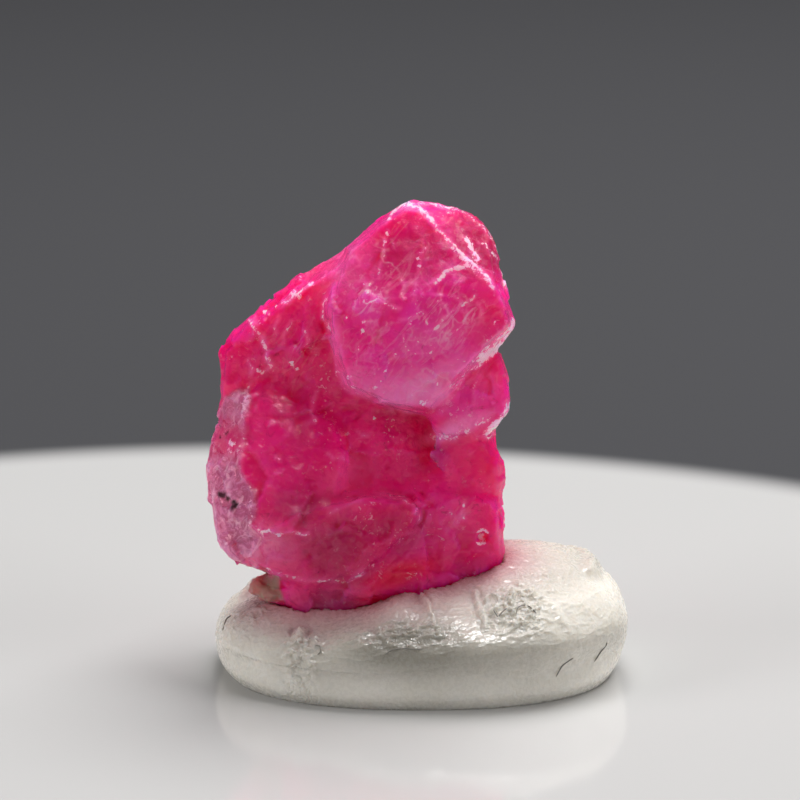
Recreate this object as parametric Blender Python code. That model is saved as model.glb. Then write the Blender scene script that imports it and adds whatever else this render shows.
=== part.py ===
"""A raw ruby crystal pressed upright into a flattened lump of white mounting putty.

The crystal is several blocks grown into each other. Each block is cut from a large cube, one flat
face at a time, and the blocks are joined. Lengths in the tables are millimetres. The crystal has
its own frame: U runs to the right, V up and W out of its front. It leans back in the putty.
"""

import math
import random

import bmesh
import bpy
import numpy as np
from mathutils import Matrix, Vector

MM = 0.001

# How the crystal stands, and how far the whole part is moved to the right to be centred
LEAN_BACK = math.radians(15.0)
FOOT_HEIGHT = 1.45
SIDE_SHIFT = 0.055

# The cutting of the blocks
STOCK_CUBE = 40.0
EDGE_WEAR = 0.07
TOUCH_GAP = 0.3
CUT_TOLERANCE = 1e-5
MERGE_TOLERANCE = 1e-4
LEAST_FACING = 0.01

# The putty's oval and its top: low at the left, with a hump that starts and rises to the right
PUTTY_HALF_WIDTH = 5.6
PUTTY_HALF_DEPTH = 4.1
PUTTY_LOW_CROWN = 2.35
PUTTY_HUMP = 1.05
HUMP_START = -1.4
HUMP_RUN = 4.2
HUMP_BACK = 0.2
HUMP_REACH = 3.25
PUTTY_WAIST = 1.05
WAIST_RISE = 0.45

# The powers that turn circles into the putty's squarish arcs, and the arc below its waist
OVAL_POWER = 0.86
UNDER_POWER = 0.60
SHOULDER_POWER = 0.42
RISE_POWER = 1.25
UNDERCUT = 0.55
PUTTY_ROUND = 60
PUTTY_RINGS = 16

# What fingers left on the putty's top: the middle (X, Y), the reach each way and the height.
FINGER_MARKS = [
    (0.25, -2.75, 0.24, 0.85, 0.16),
    (-3.70, -2.40, 1.10, 0.75, -0.18),
    (2.70, -2.40, 0.85, 0.65, 0.14),
    (1.35, -2.70, 0.50, 0.60, -0.12),
    (4.30, 0.30, 0.80, 1.30, 0.10),
    (-1.00, 3.10, 1.40, 0.60, 0.16),
    (2.60, 2.70, 1.00, 0.70, -0.16),
    (-4.20, 1.20, 0.90, 1.00, 0.12),
]

# The blocks of the crystal. Each has a convex outline seen from the front, counter-clockwise as
# (U, V), and the depths W of its widest section, its back and its front. The two leans are how far
# its sides turn in towards the back and the front, in degrees. Each facet is a plane through three
# points (U, V, W), which cuts off the side that faces away from the middle of the block.
BLOCKS = {
    "upper_slab": dict(
        outline=[(-0.42, 11.02), (-1.17, 10.58), (-2.02, 9.80), (-2.58, 8.40), (-2.58, 7.70),
                 (-2.33, 6.79), (-2.00, 6.02), (-1.03, 5.58), (0.24, 5.33), (0.74, 5.80),
                 (1.72, 6.80), (2.50, 7.58), (2.55, 7.85), (2.38, 8.50), (2.12, 9.32),
                 (1.87, 10.02), (1.58, 10.50), (1.00, 10.76), (0.28, 10.96)],
        middle=2.7, back=-1.3, front=5.0, lean_back=17, lean_front=12,
        facets=[
            ((-0.34, 10.90, 3.95), (1.94, 8.67, 4.40), (-0.20, 8.40, 4.62)),
            ((-0.34, 10.90, 3.95), (1.94, 8.67, 4.40), (2.25, 9.80, 3.20)),
            ((-0.34, 10.90, 3.95), (-0.20, 8.40, 4.62), (-2.50, 8.00, 3.95)),
            ((-0.20, 8.40, 4.62), (1.94, 8.67, 4.40), (0.90, 6.40, 4.12)),
            ((-0.20, 8.40, 4.62), (-2.50, 8.00, 3.95), (-1.80, 6.30, 4.12)),
            ((-1.80, 6.40, 4.14), (0.90, 6.40, 4.14), (-0.20, 5.45, 3.55)),
            ((-2.00, 8.60, 0.10), (1.80, 9.20, 0.20), (0.20, 6.60, -1.10)),
            ((0.60, 9.60, 0.00), (1.80, 8.60, 0.90), (0.90, 7.20, -0.60)),
        ],
    ),
    "left_shoulder": dict(
        outline=[(-2.07, 9.98), (-2.94, 9.32), (-3.40, 8.90), (-3.74, 8.68), (-5.22, 7.48),
                 (-5.44, 7.14), (-5.33, 6.40), (-5.24, 4.90), (-1.40, 4.60), (-0.60, 8.60)],
        middle=1.7, back=-1.6, front=3.3, lean_back=18, lean_front=13,
        facets=[
            ((-2.50, 8.90, 3.25), (-2.40, 6.60, 3.25), (-5.20, 7.00, 2.45)),
            ((-4.80, 6.60, 2.50), (-1.60, 6.80, 3.10), (-2.20, 5.00, 2.35)),
            ((-5.00, 7.00, -0.20), (-2.60, 8.40, -0.30), (-2.60, 6.20, -1.50)),
        ],
    ),
    "middle_body": dict(
        outline=[(-0.60, 8.20), (-4.60, 6.30), (-5.10, 4.60), (-4.90, 2.20), (-3.20, 0.50),
                 (-1.30, 0.30), (0.30, 0.60), (1.85, 1.10), (2.02, 3.00), (1.92, 6.95),
                 (1.30, 7.60)],
        middle=1.2, back=-1.6, front=2.62, lean_back=16, lean_front=12,
        facets=[
            ((0.20, 6.00, 2.60), (0.25, 3.50, 2.55), (1.90, 4.50, 2.10)),
            ((-1.10, 4.20, 2.60), (-1.10, 2.40, 2.60), (0.60, 2.00, 2.05)),
            ((1.20, 6.00, -1.50), (1.20, 2.00, -1.50), (2.00, 4.00, -0.60)),
            ((-3.60, 5.50, -1.60), (-3.90, 2.40, -1.50), (-4.90, 4.00, -0.70)),
        ],
    ),
    "right_ledge": dict(
        outline=[(0.74, 6.60), (0.10, 5.40), (0.24, 4.86), (1.00, 4.68), (1.78, 4.81),
                 (2.33, 5.46), (2.34, 5.92), (2.24, 6.42), (2.12, 7.03), (1.50, 7.10)],
        middle=2.4, back=-0.7, front=3.40, lean_back=11, lean_front=14,
        facets=[
            ((0.35, 5.20, 3.30), (2.10, 5.60, 3.05), (1.20, 4.74, 2.75)),
            ((0.60, 6.20, 3.40), (0.90, 5.30, 3.32), (2.20, 6.20, 2.85)),
        ],
    ),
    "right_block": dict(
        outline=[(0.20, 5.00), (-0.10, 4.00), (0.20, 3.10), (1.20, 3.12), (2.04, 3.30),
                 (2.22, 3.60), (2.21, 4.00), (2.05, 4.43), (1.86, 4.80), (1.00, 5.20)],
        middle=1.7, back=-1.1, front=2.70, lean_back=12, lean_front=15,
        facets=[((0.30, 4.70, 2.70), (2.00, 4.10, 2.45), (0.60, 3.20, 2.25))],
    ),
    "lower_block": dict(
        outline=[(0.00, 3.60), (-0.60, 2.00), (-0.30, 0.30), (1.20, 0.60), (2.05, 1.00),
                 (2.25, 1.60), (2.24, 2.60), (2.08, 3.30), (1.20, 3.60)],
        middle=1.2, back=-1.3, front=2.50, lean_back=12, lean_front=13,
        facets=[
            ((-0.30, 3.20, 2.48), (2.10, 2.90, 2.35), (0.90, 1.20, 1.95)),
            ((0.65, 1.80, 2.30), (2.20, 2.10, 2.05), (1.30, 1.20, 1.60)),
        ],
    ),
    "left_lobe": dict(
        outline=[(-3.20, 6.05), (-4.60, 6.14), (-5.16, 6.12), (-5.33, 5.70), (-5.46, 5.20),
                 (-5.64, 4.62), (-5.71, 3.80), (-5.64, 3.10), (-5.48, 2.33), (-5.30, 1.75),
                 (-5.02, 1.48), (-4.54, 1.30), (-3.20, 1.20), (-2.10, 2.60), (-1.70, 3.80),
                 (-1.95, 5.30)],
        middle=1.7, back=-1.0, front=4.0, lean_back=20, lean_front=14,
        facets=[
            ((-4.60, 6.00, 2.65), (-4.72, 3.60, 3.05), (-5.62, 3.80, 2.00)),
            ((-4.72, 3.60, 3.05), (-3.90, 1.80, 3.00), (-5.20, 2.00, 2.20)),
            ((-4.60, 6.00, 2.65), (-4.72, 3.60, 3.05), (-2.10, 4.20, 3.15)),
            ((-4.72, 3.60, 3.05), (-2.10, 4.20, 3.15), (-3.20, 1.80, 3.05)),
            ((-4.80, 4.60, -0.10), (-4.20, 2.20, -0.20), (-3.00, 4.00, -1.00)),
        ],
    ),
    "lower_lobe": dict(
        outline=[(-4.60, 2.20), (-4.72, 1.60), (-4.40, 1.26), (-3.34, 0.82), (-2.52, 0.74),
                 (-1.59, 1.08), (-0.80, 1.68), (-0.10, 2.40), (0.12, 2.90), (0.00, 3.22),
                 (-0.45, 3.36), (-1.60, 3.46), (-3.00, 3.20)],
        middle=2.2, back=-0.8, front=4.2, lean_back=13, lean_front=14,
        facets=[
            ((-1.60, 3.30, 3.45), (-0.20, 2.80, 3.05), (-1.80, 1.60, 3.30)),
            ((-1.60, 3.30, 3.45), (-3.60, 2.60, 3.30), (-1.80, 1.60, 3.30)),
            ((-3.60, 2.60, 3.30), (-1.80, 1.60, 3.30), (-3.00, 1.00, 2.85)),
            ((-1.80, 1.60, 3.30), (-0.40, 2.20, 2.95), (-1.70, 1.15, 2.90)),
        ],
    ),
    "foot": dict(
        outline=[(-3.30, 1.60), (-3.75, 0.95), (-3.80, 0.45), (-3.47, 0.20), (-3.10, -0.30),
                 (-2.00, -0.60), (-0.60, -0.10), (0.40, 0.50), (0.20, 1.60)],
        middle=1.2, back=-1.3, front=2.55, lean_back=14, lean_front=16,
        facets=[((-3.40, 1.10, 2.50), (-1.40, 1.10, 2.50), (-2.40, -0.10, 1.85))],
    ),
    "foot_chip": dict(
        outline=[(-3.40, 1.30), (-4.22, 1.12), (-4.50, 0.92), (-4.74, 0.66), (-4.20, 0.38),
                 (-3.40, 0.20), (-3.00, 0.60)],
        middle=1.5, back=-0.2, front=2.10, lean_back=15, lean_front=20,
        facets=[((-4.40, 0.70, 1.95), (-3.40, 0.60, 2.15), (-3.90, 1.10, 1.90))],
    ),
}

# Growth plates stacked on a block's back: how many, how thick each is, how much smaller and how far
# turned it is against the one before, and the point (U, V) that they shrink towards.
GROWTH_PLATES = {
    "middle_body": dict(count=3, thick=0.24, share=0.80, turn=7, focus=(-0.6, 2.6)),
    "left_shoulder": dict(count=2, thick=0.22, share=0.74, turn=-9, focus=(-2.4, 6.4)),
    "upper_slab": dict(count=2, thick=0.24, share=0.70, turn=11, focus=(0.6, 7.2)),
}
PLATE_LEAN = 6
PLATE_MIDDLE_SINK = 0.6
PLATE_FRONT_SINK = 0.3

# Shell-shaped chips out of the edges: the block, the place (U, V) on an edge of it, its front (1)
# or back (-1), the radius of the hollow's curve, its depth, and how narrow the shell is across.
CHIPS = [
    ("upper_slab", (0.55, 10.02), 1, 3.20, 0.05, 0.35),
    ("upper_slab", (2.02, 8.75), 1, 1.10, 0.10, 0.60),
    ("upper_slab", (1.35, 10.40), 1, 0.60, 0.12, 0.70),
    ("upper_slab", (0.90, 8.55), 1, 3.40, 0.05, 0.40),
    ("upper_slab", (-0.40, 6.42), 1, 5.00, 0.06, 0.35),
    ("left_shoulder", (-3.20, 8.85), 1, 0.90, 0.14, 0.70),
    ("left_shoulder", (-4.50, 7.95), 1, 1.10, 0.12, 0.60),
    ("middle_body", (0.22, 4.60), 1, 2.40, 0.06, 0.50),
    ("right_ledge", (1.10, 5.35), 1, 1.80, 0.05, 0.40),
    ("lower_block", (1.67, 2.05), 1, 0.30, 0.16, 0.80),
    ("left_lobe", (-4.66, 4.80), 1, 2.20, 0.07, 0.50),
    ("left_lobe", (-5.35, 5.35), 1, 0.70, 0.12, 0.70),
    ("lower_lobe", (-0.35, 2.60), 1, 1.80, 0.06, 0.45),
    ("lower_lobe", (-2.90, 1.05), 1, 1.40, 0.07, 0.50),
    ("upper_slab", (0.90, 9.30), -1, 2.60, 0.14, 0.60),
    ("upper_slab", (-1.60, 8.90), -1, 1.40, 0.14, 0.60),
    ("left_shoulder", (-4.40, 7.30), -1, 1.90, 0.14, 0.60),
    ("middle_body", (1.40, 2.60), -1, 1.80, 0.16, 0.60),
    ("middle_body", (-4.20, 2.80), -1, 2.20, 0.18, 0.60),
]
CHIP_SEED = 5
DISH_SIDES = 20
DISH_RINGS = 4
DISH_LID = 0.35
DEEPEST_DISH = 0.9

# A block whose outline comes below this V presses into the putty
SOCKET_TOP = 2.6

RUBY = dict(colour=(0.42, 0.015, 0.11), roughness=0.22, transmission=0.55, ior=1.77)
PUTTY = dict(colour=(0.72, 0.70, 0.65), roughness=0.5, transmission=0.0, ior=1.45)


def clear_scene():
    """Removes every object of the scene."""
    for thing in list(bpy.data.objects):
        bpy.data.objects.remove(thing, do_unlink=True)


def finish_material(name, colour, roughness, transmission, ior):
    """A Principled material with the part's own values."""
    material = bpy.data.materials.new(name)
    material.use_nodes = True
    shader = material.node_tree.nodes["Principled BSDF"]
    shader.inputs["Base Color"].default_value = (*colour, 1.0)
    shader.inputs["Roughness"].default_value = roughness
    shader.inputs["Metallic"].default_value = 0.0
    shader.inputs["Transmission Weight"].default_value = transmission
    shader.inputs["IOR"].default_value = ior
    return material


def own_frame(u, v, w):
    """A point of the crystal's frame as a vector of the stance empty's, whose front is -Y."""
    return Vector((u, -w, v))


def planes_of(block):
    """The block's faces as (point, outward normal), in millimetres."""
    planes = [
        (own_frame(0, 0, block["front"]), own_frame(0, 0, 1)),
        (own_frame(0, 0, block["back"]), own_frame(0, 0, -1)),
    ]
    outline = block["outline"]
    middle = sum((own_frame(u, v, block["middle"]) for u, v in outline), Vector()) / len(outline)
    for start, end in zip(outline, outline[1:] + outline[:1]):
        out = Vector((end[1] - start[1], start[0] - end[0])).normalized()
        at = own_frame(*start, block["middle"])
        for lean, side in ((block["lean_back"], -1), (block["lean_front"], 1)):
            turned = math.radians(lean)
            flat, deep = math.cos(turned), side * math.sin(turned)
            planes.append((at, own_frame(out.x * flat, out.y * flat, deep)))
    for corners in block["facets"]:
        first, second, third = (own_frame(*corner) for corner in corners)
        normal = (second - first).cross(third - first).normalized()
        if normal.dot(first - middle) < 0:
            normal = -normal
        planes.append((first, normal))
    return planes


def cut_block(name, block, grow, wear):
    """A cube cut down to the block's planes, each moved out by grow, with its edges worn."""
    mesh = bmesh.new()
    bmesh.ops.create_cube(mesh, size=STOCK_CUBE)
    for point, normal in planes_of(block):
        everything = mesh.verts[:] + mesh.edges[:] + mesh.faces[:]
        cut = bmesh.ops.bisect_plane(
            mesh, geom=everything, dist=CUT_TOLERANCE, clear_outer=True,
            plane_co=point + normal * grow, plane_no=normal,
        )
        rim = [part for part in cut["geom_cut"] if isinstance(part, bmesh.types.BMEdge)]
        if rim:
            bmesh.ops.holes_fill(mesh, edges=rim, sides=0)
    bmesh.ops.dissolve_degenerate(mesh, dist=MERGE_TOLERANCE, edges=mesh.edges[:])
    if wear:
        bmesh.ops.bevel(
            mesh, geom=mesh.edges[:], offset=wear, segments=1, affect="EDGES", clamp_overlap=True,
        )
    bmesh.ops.remove_doubles(mesh, verts=mesh.verts[:], dist=MERGE_TOLERANCE)
    bmesh.ops.recalc_face_normals(mesh, faces=mesh.faces[:])
    bmesh.ops.scale(mesh, vec=(MM, MM, MM), verts=mesh.verts[:])
    data = bpy.data.meshes.new(name)
    mesh.to_mesh(data)
    mesh.free()
    return bpy.data.objects.new(name, data)


def edge_at(block, place, side):
    """Where a line through (U, V) meets the block's front (1) or back (-1), as (point, normal).

    The normal is the mean of the two faces that the line meets first.
    """
    here = own_frame(*place, 0.0)
    found = []
    for point, normal in planes_of(block):
        out = -normal.y * side
        if out > LEAST_FACING:
            found.append((normal.dot(point - here) / out, normal))
    (depth, first), (_, second) = sorted(found, key=lambda pair: pair[0])[:2]
    return own_frame(*place, side * depth), (first + second).normalized()


def mesh_from_rings(name, rings, bottom, top):
    """A closed mesh through rings of points, bottom first, each end closed by a point or a face."""
    mesh = bmesh.new()
    loops = [[mesh.verts.new(point) for point in ring] for ring in rings]
    count = len(loops[0])
    for lower, upper in zip(loops, loops[1:]):
        for i in range(count):
            after = (i + 1) % count
            mesh.faces.new((lower[i], lower[after], upper[after], upper[i]))
    for loop, end in ((loops[0][::-1], bottom), (loops[-1], top)):
        if end is None:
            mesh.faces.new(loop)
            continue
        tip = mesh.verts.new(end)
        for i in range(count):
            mesh.faces.new((loop[i], loop[(i + 1) % count], tip))
    bmesh.ops.recalc_face_normals(mesh, faces=mesh.faces[:])
    data = bpy.data.meshes.new(name)
    mesh.to_mesh(data)
    mesh.free()
    return bpy.data.objects.new(name, data)


def make_dish(name, middle, normal, radius, depth, narrow, swing):
    """A cutter shaped like a shallow oval dish, which takes a shell-shaped chip out of an edge."""
    reach = math.acos(1.0 - min(depth + DISH_LID, DEEPEST_DISH * radius) / radius)
    turn = np.linspace(0.0, 2.0 * math.pi, DISH_SIDES, endpoint=False)
    fall = np.linspace(0.0, reach, DISH_RINGS + 1)[1:, None]
    x = radius * np.sin(fall) * np.cos(turn)
    y = radius * np.sin(fall) * np.sin(turn) * narrow
    z = radius * (1.0 - np.cos(fall)) - depth + 0.0 * turn
    rings = np.stack([x, y, z], axis=-1) * MM
    dish = mesh_from_rings(name, rings, Vector((0.0, 0.0, -depth * MM)), None)
    faced = normal.to_track_quat("Z", "Y").to_matrix().to_4x4()
    spun = Matrix.Rotation(swing, 4, "Z")
    dish.data.transform(Matrix.Translation(middle * MM) @ faced @ spun)
    return dish


def hide_helper(thing):
    """Marks an object as one that only shapes others."""
    thing.hide_render = True
    thing.display_type = "WIRE"


def helper_collection(name):
    """A new collection in the scene for objects that only shape others."""
    group = bpy.data.collections.new(name)
    bpy.context.scene.collection.children.link(group)
    return group


def add_boolean(thing, operation, group):
    """An exact Boolean of the thing with every object of the group."""
    modifier = thing.modifiers.new(group.name, "BOOLEAN")
    modifier.operation = operation
    modifier.operand_type = "COLLECTION"
    modifier.collection = group
    modifier.solver = "EXACT"


def growth_plates(name, block):
    """Thinner copies of a block stepping out of its back, as (name, block)."""
    plates = GROWTH_PLATES.get(name)
    if plates is None:
        return []
    u0, v0 = plates["focus"]
    made = []
    for number in range(1, plates["count"] + 1):
        share = plates["share"] ** number
        plate = dict(block, facets=[], lean_back=PLATE_LEAN)
        plate["middle"] = block["middle"] - PLATE_MIDDLE_SINK
        plate["front"] = block["middle"] - PLATE_FRONT_SINK
        plate["back"] = block["back"] - plates["thick"] * number
        swing = math.radians(plates["turn"] * number)
        across, along = share * math.cos(swing), share * math.sin(swing)
        plate["outline"] = [
            (u0 + (u - u0) * across - (v - v0) * along, v0 + (u - u0) * along + (v - v0) * across)
            for u, v in block["outline"]
        ]
        made.append((f"{name}_plate_{number}", plate))
    return made


def all_blocks():
    """Every block and growth plate of the crystal, as (name, block)."""
    blocks = list(BLOCKS.items())
    for name, block in BLOCKS.items():
        blocks += growth_plates(name, block)
    return blocks


def make_crystal(stance):
    """The joined blocks of the ruby, with the chips taken out of them."""
    group = helper_collection("crystal_blocks")
    crystal = None
    for name, block in all_blocks():
        piece = cut_block(name, block, 0.0, EDGE_WEAR)
        piece.parent = stance
        if crystal is None:
            crystal = piece
            crystal.name = "ruby_crystal"
            bpy.context.scene.collection.objects.link(crystal)
        else:
            group.objects.link(piece)
            hide_helper(piece)
    add_boolean(crystal, "UNION", group)
    scoops = helper_collection("crystal_chips")
    swings = random.Random(CHIP_SEED)
    for number, (name, place, side, radius, depth, narrow) in enumerate(CHIPS):
        middle, normal = edge_at(BLOCKS[name], place, side)
        swing = swings.uniform(0.0, math.pi)
        scoop = make_dish(f"chip_{number}", middle, normal, radius, depth, narrow, swing)
        scoop.parent = stance
        scoops.objects.link(scoop)
        hide_helper(scoop)
    add_boolean(crystal, "DIFFERENCE", scoops)
    crystal.data.materials.append(finish_material("raw_ruby", **RUBY))


def hump_share(x):
    """How far the putty's hump has risen at x: 0 at the left and 1 at the right."""
    share = np.clip((x - HUMP_START) / HUMP_RUN, 0.0, 1.0)
    return share * share * (3.0 - 2.0 * share)


def crown_height(x, y):
    """The putty's top at (x, y): low at the left, a hump at the right, and what fingers left."""
    crown = PUTTY_LOW_CROWN + PUTTY_HUMP * hump_share(x) * np.exp(
        -(((y - HUMP_BACK) / HUMP_REACH) ** 2)
    )
    for x0, y0, reach_x, reach_y, height in FINGER_MARKS:
        crown = crown + height * np.exp(-(((x - x0) / reach_x) ** 2) - ((y - y0) / reach_y) ** 2)
    return crown


def make_putty(stance):
    """A pressed loaf with a flat underside and the socket that the crystal stands in.

    It is rings of points from the underside's rim to the top. Each ring is a rounded oval. They are
    widest at the waist, and rise from there to the crown on a squarish arc.
    """
    turn = np.linspace(0.0, 2.0 * math.pi, PUTTY_ROUND, endpoint=False)
    arc = np.linspace(-UNDERCUT, math.pi / 2, PUTTY_RINGS)
    cosine, sine = np.cos(arc).clip(0.0), np.sin(arc)
    spread = np.where(arc < 0, cosine**UNDER_POWER, cosine**SHOULDER_POWER)
    lift = np.where(arc < 0, sine / math.sin(UNDERCUT), sine.clip(0.0) ** RISE_POWER)
    oval_x = np.sign(np.cos(turn)) * np.abs(np.cos(turn)) ** OVAL_POWER * PUTTY_HALF_WIDTH
    oval_y = np.sign(np.sin(turn)) * np.abs(np.sin(turn)) ** OVAL_POWER * PUTTY_HALF_DEPTH
    x = spread[:, None] * oval_x[None, :]
    y = spread[:, None] * oval_y[None, :]
    crown = crown_height(x, y)
    waist = PUTTY_WAIST + WAIST_RISE * hump_share(x)
    z = np.where(
        lift[:, None] < 0,
        waist * (1.0 + lift[:, None]),
        waist + (crown - waist) * lift[:, None],
    )
    rings = np.stack([x + SIDE_SHIFT, y, z], axis=-1)[:-1] * MM
    top = Vector((SIDE_SHIFT, 0.0, float(crown_height(0.0, 0.0)))) * MM
    putty = mesh_from_rings("mounting_putty", rings, None, top)
    putty.data.shade_smooth()
    bpy.context.scene.collection.objects.link(putty)
    putty.data.materials.append(finish_material("white_putty", **PUTTY))
    group = helper_collection("socket_blocks")
    for name, block in all_blocks():
        if min(v for _, v in block["outline"]) > SOCKET_TOP:
            continue
        cutter = cut_block(name + "_socket", block, TOUCH_GAP, 0.0)
        cutter.parent = stance
        group.objects.link(cutter)
        hide_helper(cutter)
    add_boolean(putty, "DIFFERENCE", group)


def main():
    """Builds the crystal, and the putty around its foot."""
    clear_scene()
    stance = bpy.data.objects.new("crystal_stance", None)
    stance.location = (SIDE_SHIFT * MM, 0.0, FOOT_HEIGHT * MM)
    stance.rotation_euler = (-LEAN_BACK, 0.0, 0.0)
    bpy.context.scene.collection.objects.link(stance)
    make_crystal(stance)
    make_putty(stance)


main()
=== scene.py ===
"""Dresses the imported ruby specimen: its broken crystal surface, the kneaded putty and the studio.

Lengths in the tables are millimetres. The crystal has its own frame, as it stands leaning back in
the putty: U runs to the right, V up and W out of its front.
"""

import math

import bmesh
import bpy
import numpy as np
from bpy.props import FloatProperty, FloatVectorProperty, PointerProperty
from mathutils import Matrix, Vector


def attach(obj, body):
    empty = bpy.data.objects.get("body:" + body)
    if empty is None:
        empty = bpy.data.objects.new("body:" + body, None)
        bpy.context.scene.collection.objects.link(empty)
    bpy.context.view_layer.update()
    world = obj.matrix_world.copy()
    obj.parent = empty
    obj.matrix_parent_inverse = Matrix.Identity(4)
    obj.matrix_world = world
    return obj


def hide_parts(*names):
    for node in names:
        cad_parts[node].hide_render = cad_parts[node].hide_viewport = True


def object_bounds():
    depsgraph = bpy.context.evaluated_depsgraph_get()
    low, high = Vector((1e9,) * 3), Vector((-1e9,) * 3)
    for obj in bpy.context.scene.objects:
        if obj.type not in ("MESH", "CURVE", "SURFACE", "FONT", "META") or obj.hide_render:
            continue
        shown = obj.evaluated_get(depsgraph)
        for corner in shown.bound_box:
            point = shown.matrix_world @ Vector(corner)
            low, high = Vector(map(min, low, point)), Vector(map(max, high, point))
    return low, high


bl_info = {
    "name": "Raw ruby specimen",
    "version": (1, 0, 0),
    "blender": (4, 5, 0),
    "location": "3D View > Sidebar > Specimen",
    "description": "Rebuilds the visible surfaces of a raw ruby crystal standing in mounting putty",
    "category": "Object",
}

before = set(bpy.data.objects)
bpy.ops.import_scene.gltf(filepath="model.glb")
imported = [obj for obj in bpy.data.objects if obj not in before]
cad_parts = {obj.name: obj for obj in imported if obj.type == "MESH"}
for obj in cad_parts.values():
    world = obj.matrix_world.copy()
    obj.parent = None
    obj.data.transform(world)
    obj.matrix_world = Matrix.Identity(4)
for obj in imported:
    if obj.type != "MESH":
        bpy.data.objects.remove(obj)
CAD_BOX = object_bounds()
MM = 0.001
# How far the visual surfaces stay inside the solids' box
BOX_MARGIN = 0.01

# How the crystal stands: its lean, and where its own frame starts over the putty's underside
LEAN_BACK = math.radians(15.0)
FOOT_HEIGHT = 1.45
SIDE_SHIFT = 0.055

# Large odd numbers that scatter the bits of a cell's coordinates
AXIS_KEYS = np.array([73856093, 19349663, 83492791], dtype=np.uint64)
SEED_KEY = 2654435761
MIXING_KEY = np.uint64(0xFF51AFD7ED558CCD)
LOW_BITS = np.uint64(0xFFFF)

# The putty's oval and its top, as the solid under it has them
PUTTY_HALF_WIDTH = 5.6
PUTTY_HALF_DEPTH = 4.1
PUTTY_LOW_CROWN = 2.35
PUTTY_HUMP = 1.05
HUMP_START = -1.4
HUMP_RUN = 4.2
HUMP_BACK = 0.2
HUMP_REACH = 3.25
PUTTY_WAIST = 1.05
WAIST_RISE = 0.45
OVAL_POWER = 0.86
UNDER_POWER = 0.60
SHOULDER_POWER = 0.42
RISE_POWER = 1.25
UNDERCUT = 0.55
# The putty surface's grid, how far it sinks before its relief, and the cells that find the stone
PUTTY_COLUMNS, PUTTY_ROWS = 460, 170
PUTTY_SINK = 0.08
FOOT_CELL = 0.09
# The stone's parts near it: all that may hang over it, and what the lip is pushed up against
OVERHANG_TOP = 4.2
LIP_LOW, LIP_HIGH = 1.2, 3.8
# The gap that it keeps under the stone, and the least height that it has there
UNDER_GAP = 0.03
LEAST_HEIGHT = 0.6
# A hair's rings and sides, where it lies off the putty, and how often its path is eased
HAIR_ROUNDS, HAIR_SIDES = 24, 6
HAIR_LIFT = (0.0, -0.02, 0.012)
EASING_PASSES = 4
# Noise that makes straight outlines wander: its reach, size, layers and seeds
CLOUD_WANDER = (0.12, 0.8, 1, (3, 4))
SEAM_WANDER = (0.05, 0.34, 2, (5, 7))
RIDGE_WANDER = (0.35, 1.3, 1, (90, 91, 92))
WRINKLE_WANDER = (0.10, 0.3, 1, (60, 61, 62))
CREASE_WANDER = (0.06, 0.35, 1, (37, 38))
# Finger marks in the putty's top: the middle (X, Y), the reach each way and the height
FINGER_MARKS = [
    (0.25, -2.75, 0.24, 0.85, 0.16), (-3.7, -2.4, 1.1, 0.75, -0.18), (2.7, -2.4, 0.85, 0.65, 0.14),
    (1.35, -2.7, 0.5, 0.6, -0.12), (4.3, 0.3, 0.8, 1.3, 0.1), (-1.0, 3.1, 1.4, 0.6, 0.16),
    (2.6, 2.7, 1.0, 0.7, -0.16), (-4.2, 1.2, 0.9, 1.0, 0.12),
]

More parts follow.
